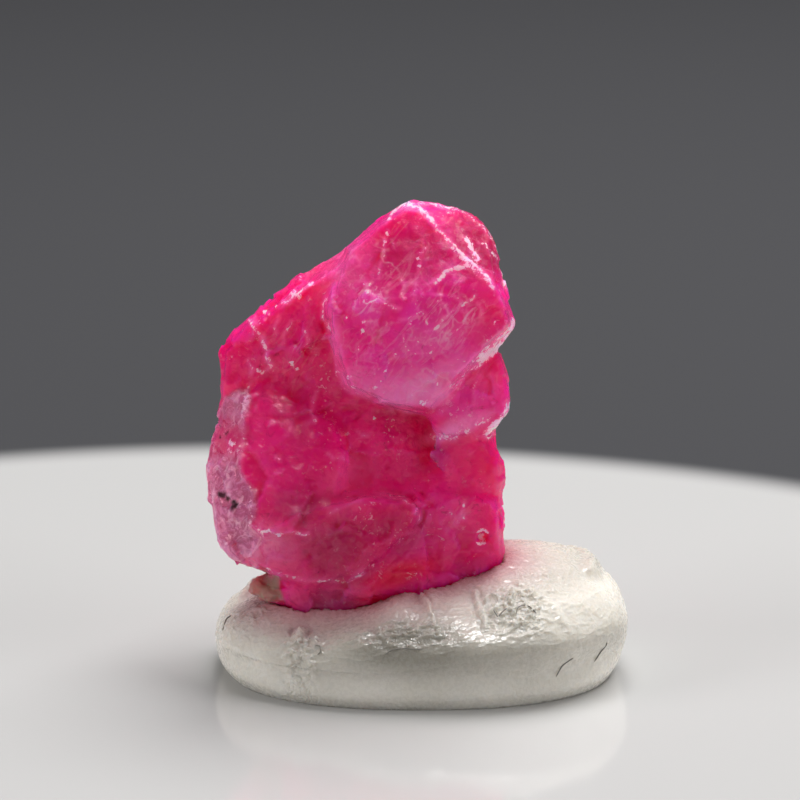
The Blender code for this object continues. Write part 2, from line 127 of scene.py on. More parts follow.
# Raised seams of the crystal as (U, V) paths, each with its half width, height and paleness
# Their paleness is partly painted highlight: the crest, rims, blob, violet glint and right edges
SEAMS = {
    "crest": ([(-0.87, 10.47), (-0.79, 10.7), (-0.56, 10.88), (-0.35, 10.93), (-0.11, 10.84),
        (0.07, 10.66), (0.33, 10.37), (0.61, 10.06), (0.9, 9.75), (1.21, 9.42), (1.52, 9.11),
        (1.73, 8.84), (1.88, 8.62)], 0.05, 0.04, 1.05),
    "crest_double": ([(0.79, 9.76), (1.0, 9.52), (1.21, 9.28), (1.44, 9.03), (1.67, 8.8),
        (1.88, 8.58)], 0.04, 0.02, 0.95),
    "right_rim": ([(-0.03, 10.92), (0.28, 10.9), (0.6, 10.8), (1.02, 10.7), (1.23, 10.56),
        (1.44, 10.38), (1.67, 10.2), (1.81, 10.02), (1.94, 9.76), (2.07, 9.46), (2.2, 9.1),
        (2.28, 8.7)], 0.07, 0.02, 0.75),
    "inner_arc": ([(1.53, 9.83), (1.69, 9.78), (1.79, 9.62), (1.99, 9.45)], 0.05, 0.03, 0.8),
    "blob": ([(1.14, 9.92), (1.24, 9.8), (1.32, 9.62), (1.47, 9.44)], 0.1, 0.04, 1.1),
    "violet": ([(0.4, 8.84), (0.56, 8.97), (0.74, 9.13), (0.92, 9.18), (1.16, 9.24)],
        0.065, 0.03, 1.2),
    "left_cheek": ([(-2.45, 8.45), (-2.52, 8.24), (-2.5, 7.9), (-2.42, 7.59)], 0.07, 0.02, 0.6),
    "mid_line": ([(0.09, 9.7), (0.01, 9.47), (-0.06, 9.26), (-0.14, 8.92), (-0.19, 8.55),
        (-0.14, 8.24), (-0.06, 8.04)], 0.035, 0.015, 0.65),
    "flake_a": ([(-1.52, 8.3), (-1.39, 8.25), (-1.18, 8.33), (-0.97, 8.27), (-0.76, 8.19),
        (-0.58, 8.12)], 0.035, 0.02, 0.9),
    "flake_b": ([(-1.44, 8.4), (-1.44, 8.67), (-1.36, 8.82)], 0.045, 0.03, 0.8),
    "feather_a": ([(-0.53, 7.83), (-0.3, 7.88), (-0.09, 7.99), (0.07, 8.04), (0.14, 7.83),
        (0.17, 7.73)], 0.035, 0.015, 0.75),
    "feather_c": ([(0.07, 7.55), (0.32, 7.62), (0.56, 7.83), (0.79, 8.04), (1.03, 8.2),
        (1.31, 8.33), (1.39, 8.51)], 0.04, 0.02, 0.8),
    "feather_d": ([(-0.51, 7.49), (-0.45, 7.26), (-0.32, 7.05), (-0.12, 6.95), (0.14, 6.95),
        (0.3, 7.06)], 0.035, 0.015, 0.7),
    "feather_e": ([(0.61, 7.7), (0.79, 7.5), (1.0, 7.57), (1.16, 7.78), (1.21, 8.04)],
        0.035, 0.015, 0.65),
    "feather_f": ([(0.38, 7.31), (0.22, 7.18), (0.48, 7.08), (0.79, 7.13)], 0.03, 0.01, 0.6),
    "vein_a": ([(-0.66, 6.95), (-0.84, 6.8), (-0.97, 6.54), (-1.08, 6.28), (-1.16, 6.07),
        (-1.34, 6.07)], 0.035, 0.012, 0.7),
    "vein_b": ([(0.87, 6.87), (1.18, 6.77), (1.43, 6.78), (1.64, 6.91)], 0.04, 0.015, 0.7),
    "vein_c": ([(1.51, 6.39), (1.41, 6.15), (1.33, 5.86), (1.33, 5.65)], 0.05, 0.02, 0.6),
    "right_edge": ([(1.6, 6.86), (1.91, 7.1), (2.2, 7.31), (2.41, 7.54), (2.52, 7.8)],
        0.12, 0.03, 1.3),
    "slab_foot_right": ([(0.75, 6.1), (0.93, 6.25), (1.14, 6.49), (1.49, 6.7)], 0.07, 0.03, 0.6),
    "slab_foot_left": ([(-2.21, 6.57), (-1.98, 6.05), (-1.82, 5.94), (-1.34, 5.76), (-0.95, 5.65),
        (-0.56, 5.6), (-0.24, 5.49), (0.02, 5.47)], 0.06, 0.03, 0.45),
    "ledge_edge": ([(2.31, 5.6), (2.24, 5.36), (2.02, 5.14), (1.81, 4.97), (1.73, 4.84)],
        0.1, 0.03, 1.3),
    "ledge_band": ([(0.31, 4.78), (0.57, 4.76), (0.86, 4.76), (1.18, 4.92), (1.46, 5.1),
        (1.75, 5.26)], 0.11, 0.03, 0.75),
    "lobe_top": ([(-2.39, 2.83), (-1.86, 3.07), (-1.21, 3.22), (-0.56, 3.22), (-0.17, 3.01),
        (-0.09, 2.62)], 0.06, 0.03, 0.45),
    "pocket_sill": ([(-1.06, 3.24), (-0.82, 3.26), (-0.64, 3.28), (-0.45, 3.21)], 0.05, 0.03, 0.6),
    "lobe_rim": ([(-4.29, 1.42), (-4.03, 1.32), (-3.71, 1.16), (-3.45, 1.06), (-3.05, 0.98),
        (-2.66, 0.94), (-2.27, 0.97), (-1.92, 1.05), (-1.58, 1.29)], 0.09, 0.04, 0.62),
    "lobe_fold": ([(-4.5, 2.47), (-4.18, 2.35), (-3.91, 2.32), (-3.7, 2.22), (-3.38, 2.3),
        (-3.12, 2.22), (-2.96, 2.25)], 0.06, 0.05, 0.85),
    "lobe_split": ([(0.15, 2.86), (0.08, 2.54), (-0.08, 2.2), (-0.21, 1.88), (-0.5, 1.54),
        (-0.87, 1.28)], 0.05, 0.03, 0.2),
    "lobe_up": ([(-2.71, 5.97), (-2.82, 5.76), (-2.87, 5.49), (-2.79, 5.23)], 0.045, 0.03, 0.6),
    "dots_up": ([(-0.98, 10.05), (-1.02, 9.7), (-1.1, 9.3), (-1.12, 8.95)], 0.05, 0.01, 0.62),
    "curl_a": ([(-0.6, 8.95), (-0.48, 8.7), (-0.52, 8.5)], 0.035, 0.01, 0.66),
    "curl_b": ([(0.85, 8.45), (1.02, 8.3), (0.98, 8.12), (1.15, 7.98)], 0.035, 0.01, 0.7),
    "curl_c": ([(-0.2, 7.4), (-0.05, 7.22), (0.12, 7.2), (0.22, 7.35)], 0.035, 0.01, 0.7),
    "curl_d": ([(0.45, 8.3), (0.62, 8.2), (0.7, 8.0)], 0.035, 0.01, 0.66),
    "curl_e": ([(1.45, 8.25), (1.58, 8.05), (1.52, 7.85)], 0.04, 0.01, 0.66),
    "shoulder_c": ([(-3.05, 7.6), (-2.95, 7.35), (-3.02, 7.15)], 0.05, 0.02, 0.7),
    "shoulder_d": ([(-3.75, 7.95), (-3.86, 7.7), (-3.8, 7.5)], 0.05, 0.02, 0.7),
    "shoulder_e": ([(-4.55, 6.8), (-4.42, 6.62), (-4.5, 6.45)], 0.05, 0.02, 0.66),
    "lower_a": ([(1.15, 3.05), (1.05, 2.8), (1.12, 2.6)], 0.05, 0.02, 0.7),
    "lower_b": ([(0.75, 2.85), (0.85, 2.65), (0.8, 2.48)], 0.04, 0.02, 0.66),
    "mid_a": ([(-1.75, 4.95), (-1.6, 4.8), (-1.42, 4.82)], 0.04, 0.01, 0.62),
    "mid_b": ([(-2.45, 4.35), (-2.3, 4.2), (-2.12, 4.24)], 0.04, 0.01, 0.6),
    "rim_inner": ([(-4.51, 6.18), (-4.59, 5.97), (-4.63, 5.65), (-4.66, 5.34), (-4.68, 5.02),
        (-4.71, 4.71), (-4.73, 4.39), (-4.76, 4.13), (-4.73, 3.82), (-4.59, 3.61), (-4.49, 3.4),
        (-4.44, 3.08), (-4.41, 2.74), (-4.5, 2.5), (-4.28, 2.29), (-3.96, 2.14)], 0.06, 0.05, 0.6),
    "pink_spot": ([(1.08, 2.75), (0.92, 2.49), (0.71, 2.33)], 0.09, 0.03, 0.45),
    "shoulder_vein": ([(-4.4, 7.74), (-4.26, 7.45), (-4.06, 7.06), (-3.93, 6.67)], 0.07, 0.05, 0.8),
    "shoulder_vein_b": ([(-3.43, 7.79), (-3.59, 7.45), (-3.61, 7.19)], 0.06, 0.05, 0.7),
    "shoulder_dash": ([(-4.22, 6.47), (-3.95, 6.65)], 0.05, 0.03, 0.8),
    "shoulder_edge": ([(-3.62, 8.33), (-3.34, 8.52), (-3.08, 8.7), (-2.88, 8.86)], 0.08, 0.05, 0.8),
}

# Painted glints: small painted highlights on the crystal's front, as (U, V) and radius
GLINTS = [
    (-0.9, 10.1, 0.07), (-0.95, 9.92, 0.06), (-1.08, 9.27, 0.06), (-0.09, 9.42, 0.06),
    (-0.06, 9.23, 0.09), (0.12, 9.68, 0.06), (-1.99, 7.89, 0.07), (-1.49, 7.78, 0.07),
    (-1.52, 7.58, 0.07), (-1.62, 7.08, 0.05), (1.91, 7.73, 0.07), (1.7, 7.34, 0.05),
    (-0.97, 6.56, 0.06), (-1.86, 6.38, 0.06), (-1.73, 6.12, 0.08), (-1.2, 6.07, 0.08),
    (0.41, 6.17, 0.07), (0.04, 5.68, 0.08), (-0.27, 7.75, 0.07), (-0.27, 5.89, 0.08),
    (0.84, 10.76, 0.1), (0.67, 10.6, 0.08), (2.2, 9.1, 0.08), (-2.16, 6.54, 0.06),
    (-1.4, 8.6, 0.08), (-1.45, 8.4, 0.1), (-1.18, 8.33, 0.1), (1.64, 2.06, 0.1),
    (-2.78, 5.26, 0.07), (-1.22, 5.3, 0.07), (-4.9, 4.6, 0.1), (-4.95, 4.4, 0.09),
    (-3.7, 2.22, 0.08), (-5.1, 2.0, 0.08), (0.62, 4.8, 0.1), (-4.3, 6.55, 0.06), (-3.38, 6.75, 0.1),
    (-3.25, 6.59, 0.07), (-3.22, 8.45, 0.09), (-4.08, 8.05, 0.07), (-3.8, 8.2, 0.06),
    (-1.0, 9.8, 0.05), (-1.13, 9.1, 0.05), (-1.55, 7.45, 0.05), (-1.47, 8.76, 0.06),
    (-0.69, 8.16, 0.05), (0.05, 9.85, 0.05), (-0.03, 9.54, 0.06),
]

# Colour clouds in the crystal as (U, V), reach each way, turn in degrees and strength
CLOUDS = {
    "magenta": [
        (-3.3, 4.6, 1.1, 1.6, 0, 0.4), (1.4, 5.7, 0.95, 0.75, 0, 0.75),
        (0.9, 2.5, 1.2, 1.1, 0, 0.4), (0.25, 2.0, 0.6, 0.6, 0, 0.5), (-3.9, 7.4, 1.1, 0.8, 40, 0.3),
    ],
    "slab_pink": [
        (-0.2, 8.3, 2.8, 2.9, 0, 1.0),
    ],
    "slab_milk": [
        (-0.6, 5.9, 1.7, 0.62, 0, 1.0), (-1.8, 6.3, 0.55, 0.45, 0, 0.5),
        (0.75, 6.45, 0.95, 0.38, 28, 0.7), (-2.35, 7.3, 0.35, 1.2, 10, 0.5),
        (0.3, 7.3, 1.2, 0.48, 15, 0.35), (-1.3, 8.3, 0.45, 0.45, 0, 0.35),
    ],
    # Milk: the milky zones' own colour, also painted highlight on raised patches, ridges and seams
    "milk_and_highlight": [
        (-1.95, 9.2, 0.75, 0.95, -35, 0.35), (-0.35, 10.88, 0.45, 0.18, 0, 0.85),
        (0.95, 5.02, 1.0, 0.22, 20, 0.85), (0.5, 5.7, 0.45, 0.35, 0, 0.5),
        (-4.1, 1.85, 0.9, 0.7, -20, 0.4), (-3.2, 2.3, 0.85, 0.4, 0, 0.1),
        (1.0, 2.45, 0.4, 0.45, 0, 0.05), (-2.4, 0.6, 0.9, 0.5, 0, 0.22),
        (-1.9, 3.6, 0.65, 0.75, 0, 0.25), (1.6, 6.1, 0.5, 0.45, 0, 0.25),
    ],
    # Deep: the clear crystal's darkest red, and painted shade in the pocket and under the slab
    "deep_and_shadow": [
        (-0.45, 3.92, 0.75, 0.45, 0, 1.0), (-2.65, 3.9, 0.6, 1.2, 0, 0.75),
        (-3.45, 5.0, 0.7, 1.1, 0, 0.35), (-2.25, 6.3, 0.5, 0.8, 20, 0.75),
        (-2.15, 5.25, 1.0, 0.45, 0, 0.5), (1.8, 3.95, 0.42, 0.45, 0, 0.6),
        (1.2, 1.68, 0.58, 0.32, 0, 0.85), (-3.05, 2.62, 0.3, 0.24, 0, 0.6),
        (-0.75, 8.3, 0.45, 1.0, 8, 0.45), (1.5, 7.9, 0.6, 0.75, 35, 0.45),
        (-1.0, 7.4, 0.7, 0.3, 0, 0.4), (0.3, 4.9, 0.8, 0.3, 0, 0.5),
    ],
    # Dusk: darker mottling, and painted shade on the brightly lit upper face and bevel
    "dusk_and_shade": [
        (-3.3, 4.6, 1.3, 1.6, 0, 0.3), (-3.2, 6.2, 1.0, 0.7, 0, 0.3),
        (-0.3, 9.7, 1.3, 1.0, 0, 0.85), (-3.2, 7.4, 1.4, 1.2, 30, 0.3),
        (1.6, 9.9, 1.1, 0.95, -45, 1.0), (-0.45, 3.92, 0.75, 0.45, 0, 0.15),
        (-2.2, 9.6, 1.1, 0.3, 40, 0.6), (-2.25, 6.3, 0.5, 0.8, 20, 0.4),
        (-2.65, 3.9, 0.6, 1.2, 0, 0.3), (1.95, 7.0, 0.6, 0.7, 0, 0.45),
        (-3.6, 7.6, 1.0, 0.7, 40, 0.15), (1.8, 3.95, 0.42, 0.45, 0, 0.4),
    ],
    # Plum: the lower lobe's own dusky colour, and painted shade on the lit bevel at upper right
    "plum_and_shade": [
        (-3.2, 2.62, 0.42, 0.32, 0, 0.9), (-2.65, 1.7, 0.16, 0.12, 0, 1.0),
        (-3.05, 1.78, 0.12, 0.1, 0, 1.0), (-2.2, 1.35, 0.14, 0.11, 0, 1.0),
        (-2.1, 1.85, 1.25, 0.95, 0, 0.95), (-0.7, 2.3, 0.8, 0.75, 0, 0.8),
        (-3.3, 2.9, 1.1, 0.6, 0, 0.6), (-2.4, 0.4, 1.0, 0.45, 0, 0.5),
        (-3.6, 1.75, 0.9, 0.7, -20, 0.45), (-4.9, 2.9, 0.5, 0.6, 0, 0.55),
        (1.7, 9.9, 1.15, 0.9, -45, 1.0), (-5.0, 5.0, 0.6, 0.5, 0, 0.6),
    ],
    # Painted glow: the lower edge painted bright scarlet as if light shone through it
    "scarlet_painted_glow": [
        (-0.4, 1.2, 1.1, 0.32, 14, 0.95), (-1.3, 0.7, 0.6, 0.3, 30, 0.6),
    ],
    "feather": [
        (0.75, 7.9, 0.95, 0.75, 20, 0.55), (-1.45, 8.4, 0.4, 0.6, 0, 0.55),
        (-3.3, 7.0, 0.9, 1.0, 0, 0.15), (1.1, 2.6, 0.6, 0.6, 0, 0.1),
    ],
    "rime": [
        (-4.6, 1.9, 0.9, 0.6, 0, 0.55),
    ],
    # Painted shade: on the brightly lit bevel the milky paleness and the painted glints are held
    # back
    "bevel": [
        (1.7, 9.95, 1.0, 0.7, -45, 1.0),
    ],
    "reddish": [
        (-5.05, 4.75, 0.7, 0.55, 0, 1.0),
    ],
}
# The frosted rind down the left side
FROST_OUTLINE = [
    (-4.46, 5.8), (-4.62, 5.4), (-4.68, 4.8), (-4.72, 3.9), (-4.49, 3.4), (-4.41, 2.74),
    (-4.5, 2.5), (-4.2, 1.95), (-4.52, 1.6), (-5.05, 1.35), (-5.8, 1.8), (-6.1, 3.0), (-6.1, 4.6),
    (-5.7, 5.2), (-5.3, 5.62), (-5.05, 5.92), (-4.78, 6.08), (-4.55, 6.02),
]
# The raised slab of the upper front, whose lower edge stands over the rest
SLAB_OUTLINE = [
    (-1.2, 11.2), (-2.3, 9.6), (-2.45, 8.45), (-2.42, 7.6), (-2.21, 6.57), (-1.98, 6.05),
    (-1.82, 5.94), (-1.34, 5.76), (-0.95, 5.65), (-0.56, 5.6), (-0.24, 5.49), (0.02, 5.47),
    (0.6, 5.5), (0.93, 6.2), (1.2, 6.5), (1.6, 6.86), (2.2, 7.31), (2.7, 7.8), (2.7, 11.2),
]
# The brown chip at the left end of the foot
CHIP_OUTLINE = [
    (-4.95, 0.7), (-4.25, 1.25), (-3.72, 1.0), (-3.62, 0.45), (-4.25, 0.3),
]
# Dark grains in the rind: (U, V) and radius
SPECKS = [
    (-5.24, 3.26, 0.14), (-5.1, 3.16, 0.08), (-4.9, 2.95, 0.13), (-4.97, 3.07, 0.08),
    (-5.3, 5.05, 0.05), (-5.05, 4.9, 0.06), (-5.25, 4.75, 0.05),
]

# The dark pocket in the middle: its middle (U, V), half width, half height and depth
POCKET = (-0.46, 3.93, 0.68, 0.39, 0.05)
# The small pit at the lower right: its middle (U, V), radius and depth
PIT = (1.64, 2.11, 0.17, 0.16)
# Where the slab, the shoulder and the softened middle lie, as colour clouds are given
SLAB_OVAL = (-0.1, 8.4, 2.6, 2.8, 0, 1.0)
SHOULDER_OVAL = (-2.6, 8.1, 2.0, 1.2, 35, 1.0)
SOFT_MIDDLE_OVAL = (-0.6, 4.3, 1.3, 1.2, 0, 1.0)
# Smoothing passes that round the crystal's edges, and that find them, and the steepest patch
ROUNDING_PASSES = 26
EDGE_PASSES = 3
PATCH_TILT = 0.10

# Where the putty was pressed down or pushed up along the crystal's front, as the finger marks are
# given
PRESSED = [
    (-2.55, -2.9, 0.85, 0.9, -0.3), (-0.55, -2.5, 0.65, 0.8, 0.34), (0.9, -2.3, 0.8, 0.7, 0.12),
]

# Creases of the putty as (X, Y) paths, each with its half width and height
CREASES = [
    ([(0.02, -2.2), (0.18, -2.5), (0.29, -2.78), (0.41, -3.19), (0.54, -3.6)], 0.045, 0.08),
    ([(1.45, -2.1), (1.55, -2.51), (1.62, -2.94), (1.72, -3.35)], 0.05, 0.07),
    ([(-3.13, -2.52), (-3.23, -3.07), (-3.33, -3.36), (-2.99, -3.63)], 0.1, 0.1),
    ([(2.6, -1.9), (3.0, -2.3), (3.5, -2.5), (3.9, -2.9)], 0.1, 0.04),
    ([(-1.6, 2.6), (-0.4, 3.1), (1.2, 3.0), (2.4, 3.4)], 0.16, 0.12),
    ([(4.2, 1.6), (4.7, 0.4), (4.6, -0.6)], 0.16, 0.09),
    ([(-4.8, 0.4), (-4.4, 1.5), (-3.6, 2.3)], 0.14, 0.1),
]
# Where the putty's top is finely wrinkled: the middle (X, Y), the reach each way, the strength
WRINKLED = [
    (2.4, -2.8, 1.0, 0.75, 1.0), (-3.12, -3.2, 0.55, 0.7, 0.9), (-0.4, -3.45, 1.4, 0.45, 0.8),
    (3.2, -1.6, 0.9, 0.7, 0.45), (-4.6, -1.6, 0.7, 0.9, 0.35), (0.5, 3.3, 2.6, 0.6, 0.5),
    (4.2, 1.0, 0.8, 1.6, 0.35), (-3.8, 2.4, 1.0, 0.8, 0.45),
]
# Hairs caught on the putty as paths in part coordinates
HAIRS = [
    [(2.54, -3.04, 2.42), (2.59, -2.85, 2.55), (2.75, -2.78, 2.59), (2.93, -2.79, 2.54),
     (3.09, -2.9, 2.41)],
    [(1.94, -2.92, 2.49), (2.04, -3.11, 2.39), (2.2, -3.06, 2.43), (2.28, -2.92, 2.52)],
    [(-0.92, -3.88, 1.54), (-0.71, -3.8, 1.68), (-0.4, -3.79, 1.73), (-0.08, -3.85, 1.69),
     (0.12, -3.84, 1.72)],
    [(3.7, -3.22, 0.72), (3.85, -3.18, 0.93), (4.01, -3.12, 1.07), (4.09, -3.08, 1.17)],
    [(4.78, -2.36, 0.82), (4.88, -2.31, 1.06), (5.02, -2.17, 1.21), (4.99, -2.24, 1.37)],
    [(-2.75, -3.24, 1.77), (-2.65, -3.4, 1.69), (-2.62, -3.54, 1.54), (-2.7, -3.57, 1.47)],
    [(-5.24, -1.24, 1.41), (-5.14, -0.84, 1.62), (-5.04, -0.79, 1.71)],
]
# Noise patterns on Object coordinates: scale per metre, detail, roughness and distortion
NOISE_INPUTS = ("Scale", "Detail", "Roughness", "Distortion")
RUBY_NOISES = {
    # Growth clouding about 1.2 mm across
    "clouds": (800.0, 5.0, 0.6, 0.0),
    # Mottling of healed cracks about 0.4 mm across
    "mottle": (2600.0, 6.0, 0.75, 0.9),
    # Fine cracks and grains about 0.15 mm apart
    "grains": (6500.0, 5.0, 0.7, 0.0),
    # Crusting of the rind in flecks about 0.3 mm across
    "crust": (3000.0, 4.0, 0.7, 0.0),
    # What bends the borders of the broken facets, about 0.3 mm across
    "bending": (3500.0, 2.0, 0.5, 0.0),
    # Healed cracks that show as pale hairlines, in a net about 0.7 mm across
    "net": (1300.0, 2.0, 0.6, 0.2),
    # Chipped flecks down to 0.05 mm, and the patches that they gather in
    "flecks": (7500.0, 4.0, 0.65, 0.6),
    "patches": (1500.0, 3.0, 0.7, 0.0),
}
PUTTY_NOISES = {
    # Greying from handling, in patches about 2 mm across
    "greyed": (450.0, 6.0, 0.6, 0.0),
    # Pores and lint about 0.1 mm apart
    "pores": (9000.0, 3.0, 0.55, 0.0),
    # Crinkles about 0.2 mm apart where it was pinched
    "crinkle": (5200.0, 2.0, 0.5, 1.2),
}
# Slight change of tone every 0.3 mm
HAIR_NOISES = {"tone": (3000.0, 2.0, 0.5, 0.0)}
RUBY_MASKS = (
    "magenta", "milk_and_highlight", "deep_and_shadow", "dusk_and_shade", "plum_and_shade", "scarlet_painted_glow", "frost", "rime", "chip", "speck",
    "seam_and_glint", "worn_and_edge_highlight", "painted_glint", "feather", "wisp", "broken", "clear",
)
PUTTY_MASKS = ("painted_shade", "painted_red_light", "contact_shadow", "wrinkled")
# Shares of each look, made from noises and masks: name, source, factor and shift, kept from 0 to 1.
# Where the shift is left out it is 0, and a last entry says what a step does otherwise.
RUBY_STEPS = (
    ("wave", "clouds", 3.0, -1.0),
    ("wave", "wave", 0.45),
    ("mist", "mottle", 7.0, -4.3),
    ("shadow", "mottle", -7.0, 2.9),
    ("milky", "clouds", 1.6, 0.05),
    ("milky", "milky", "milk_and_highlight"),
    ("rimy", "mottle", 4.0, -1.2),
    ("rimy", "rimy", "rime"),
    ("frosty", "mottle", 4.0, -1.95),
    ("frosty", "frosty", "frost"),
    ("crusty", "crust", 9.0, -5.4),
    ("crusty", "crusty", "frost"),
    ("ragged", "flecks", 4.0, -1.45),
    ("ragged", "seam_and_glint", 1.5, "ragged", {"use_clamp": False}),
    ("seams", "ragged", 4.0, -6.2),
    ("rubbed", "grains", 6.0, -2.8),
    ("rubbed", "rubbed", "worn_and_edge_highlight"),
    ("cloudy", "clouds", 5.0, -2.4),
    ("wisps", "net", 0.5, {"operation": "SUBTRACT", "use_clamp": False}),
    ("wisps", "wisps", {"operation": "ABSOLUTE"}),
    ("wisps", "wisps", -24.0, 1.0),
    ("wisps", "wisps", "cloudy"),
    ("wisps", "wisps", "wisp"),
    ("feathers", "flaws", 8.0, -4.2),
    ("feathers", "feathers", "feather"),
    ("gathered", "patches", 7.0, -3.3),
    # Painted glints: bright flecks gathered in patches
    ("painted_glint_share", "flecks", 20.0, -11.8),
    ("painted_glint_share", "painted_glint_share", "gathered"),
    ("painted_glint_share", "painted_glint_share", "painted_glint"),
    ("dull", "frost", "chip", {"operation": "MAXIMUM"}),
    ("rough", "mottle", 0.45, -0.10),
    ("rough", "dull", 0.35, "rough"),
    ("see_through", "clear", 0.12),
)
PUTTY_STEPS = (
    ("handled", "greyed", 1.8, -0.6),
    ("painted_red_light_share", "painted_red_light", 0.75),
    ("contact_shadow_share", "contact_shadow", 0.7),
    ("rough", "pores", 0.35, 0.10),
)
# What is laid over the crystal's own colour in turn: the share and the colour setting
RUBY_LAYERS = (
    ("magenta", "magenta"), ("wave", "deep_and_shadow"), ("mist", "mist"), ("shadow", "shadow"),
    ("deep_and_shadow", "deep_and_shadow"), ("dusk_and_shade", "dusk_and_shade"), ("plum_and_shade", "plum_and_shade"), ("scarlet_painted_glow", "scarlet_painted_glow"),
    ("milky", "milk_and_highlight"), ("frost", "rind"), ("frosty", "frost"), ("rimy", "frost"),
    ("crusty", "bruise_and_highlight"), ("chip", "chip"), ("seams", "bruise_and_highlight"), ("rubbed", "bruise_and_highlight"),
    ("wisps", "bruise_and_highlight"), ("feathers", "bruise_and_highlight"), ("painted_glint_share", "painted_glint"), ("speck", "speck"),
)
# The lamps: place in mm, width in mm and power in watts. Only the glint lamp shows in the gloss.
LAMPS = {
    "key": ((30.0, 50.0, 140.0), 110.0, 0.41),
    "glint": ((10.0, 10.0, 140.0), 18.0, 0.16),
    "left": ((-150.0, -45.0, 60.0), 90.0, 0.165),
    "right": ((150.0, -60.0, 50.0), 90.0, 0.135),
}
# What the camera and the lamps point at, and half the table's width, in mm
AIM = (SIDE_SHIFT - 0.557, 0.0, 7.41)
TABLE_HALF_WIDTH = 800.0
# The pale part of the table is a disc: its middle, and where its edge starts and ends to blur
DISC_MIDDLE = (-4.5, -9.2)
DISC_EDGE = (29.8, 32.2)
# The room's even white light, and the nearest and furthest that the camera sees, in metres
ROOM_LIGHT = 0.05
CLIPPING = (0.005, 5.0)


def linear(code):
    """An sRGB hex colour as linear red, green and blue."""
    parts = [int(code[i : i + 2], 16) / 255.0 for i in (1, 3, 5)]
    return tuple(c / 12.92 if c <= 0.04045 else ((c + 0.055) / 1.055) ** 2.4 for c in parts)


def colour_setting(name, code, description):
    """A colour property with an sRGB hex default."""
    return FloatVectorProperty(
        name=name, description=description, subtype="COLOR", size=3, min=0.0, max=1.0,
        default=linear(code),
    )


def length_setting(name, millimetres, description):
    """A length property whose default is given in millimetres."""
    return FloatProperty(
        name=name, description=description, unit="LENGTH", min=0.0, precision=5,
        default=millimetres * MM,
    )


class RubySettings(bpy.types.PropertyGroup):
    """Sizes and colours of the crystal."""

    voxel: length_setting("Detail", 0.064, "Size of the cells that the crystal is rebuilt with")
    patch: length_setting("Patch size", 1.05, "Width of one broken patch of the surface")
    step: length_setting("Patch step", 0.045, "Height between neighbouring broken patches")
    crimson: colour_setting("Crimson", "#fc0c7e", "The crystal's own deep red")
    magenta: colour_setting("Magenta", "#ff2ab0", "The pinker growth zones")
    # The milk colour also lays painted highlight on raised patches, ridges and seam halos
    milk_and_highlight: colour_setting("Milk", "#ff80c4", "Milky zones full of fine cracks")
    # The deep red is also painted shade under the slab and in the pocket
    deep_and_shadow: colour_setting("Deep", "#f20872", "The darkest red, where the crystal is clear")
    mist: colour_setting("Mist", "#ff3896", "Lighter mottling of healed cracks")
    shadow: colour_setting("Shadow", "#b00648", "The clearest spots, which look darkest")
    # Dusk is also painted shade on lit faces and on lower broken patches
    dusk_and_shade: colour_setting("Dusk", "#d80864", "Darker mottling between the healed cracks")
    # Plum is also painted shade on the lit bevel
    plum_and_shade: colour_setting("Plum", "#bd165a", "The dusky lower lobe")
    # Painted glow along the lower edge
    scarlet_painted_glow: colour_setting("Scarlet", "#ff044e", "The glowing lower edge")
    frost: colour_setting("Frost", "#ea9ac0", "The frosted outer rind")
    rind: colour_setting("Rind", "#a82f66", "The outer rind under its frosting")
    # Crushed edges and seams, and the colour of the painted highlights on glints, seams and edges
    bruise_and_highlight: colour_setting("Bruised edge", "#ffc8e0", "Crushed edges and seams")
    # Painted glints: the colour of flecks painted as if they catch the light
    painted_glint: colour_setting("Flecks", "#ffb4d6", "Chipped flecks that catch the light")
    chip: colour_setting("Iron stain", "#9c766c", "The brown matrix chip at the foot")
    speck: colour_setting("Dark grain", "#3d0a1c", "Dark mineral grains in the rind")
    glow: length_setting("Glow depth", 1.9, "How far red light travels inside the crystal")


class PuttySettings(bpy.types.PropertyGroup):
    """Sizes and colours of the putty."""

    wrinkle: length_setting("Wrinkle height", 0.085, "Height of the finest wrinkles")
    lip: length_setting("Lip", 0.16, "How far the putty is pushed up around the crystal")
    white: colour_setting("White", "#e8e3da", "The putty's own white")
    # Painted shade: the grey band under the crystal and on the lit top
    painted_shade: colour_setting("Painted shade", "#98948a", "The greyer band along its lower front")
    # Painted light: red light from the crystal painted into the putty near it
    painted_red_light: colour_setting("Blush", "#b8808a", "Red light from the crystal soaked into it")
    # Painted shadow and red reflection of the crystal where the putty touches it
    contact_shadow: colour_setting("Contact", "#9a5560", "Where it touches the crystal")
    shade: colour_setting("Handled", "#cfcabf", "Putty greyed by handling")
    hair: colour_setting("Hair", "#6e6b65", "Dark hairs and lint on the putty")
    hair_width: length_setting("Hair width", 0.035, "Thickness of a hair")


class StageSettings(bpy.types.PropertyGroup):
    """The camera and the studio."""

    distance: length_setting("Camera distance", 130.0, "From the camera to the specimen")
    elevation: FloatProperty(
        name="Elevation", description="How far the camera looks down", unit="ROTATION",
        default=math.radians(15.0),
    )
    half_view: length_setting("Half view", 10.61, "Half of what the camera takes in")
    table: colour_setting("Table", "#b9b8b7", "The pale table")
    beyond: colour_setting("Backdrop", "#404042", "The dark surface beyond the table")


def smooth_step(values, low, high):
    """0 below low, 1 above high, and the curve 3t^2 - 2t^3 between them."""
    share = np.clip((values - low) / (high - low), 0.0, 1.0)
    return share * share * (3.0 - 2.0 * share)


def bell(values):
    """The bell curve exp(-v^2), which is 1 at 0."""
    return np.exp(-(values**2))


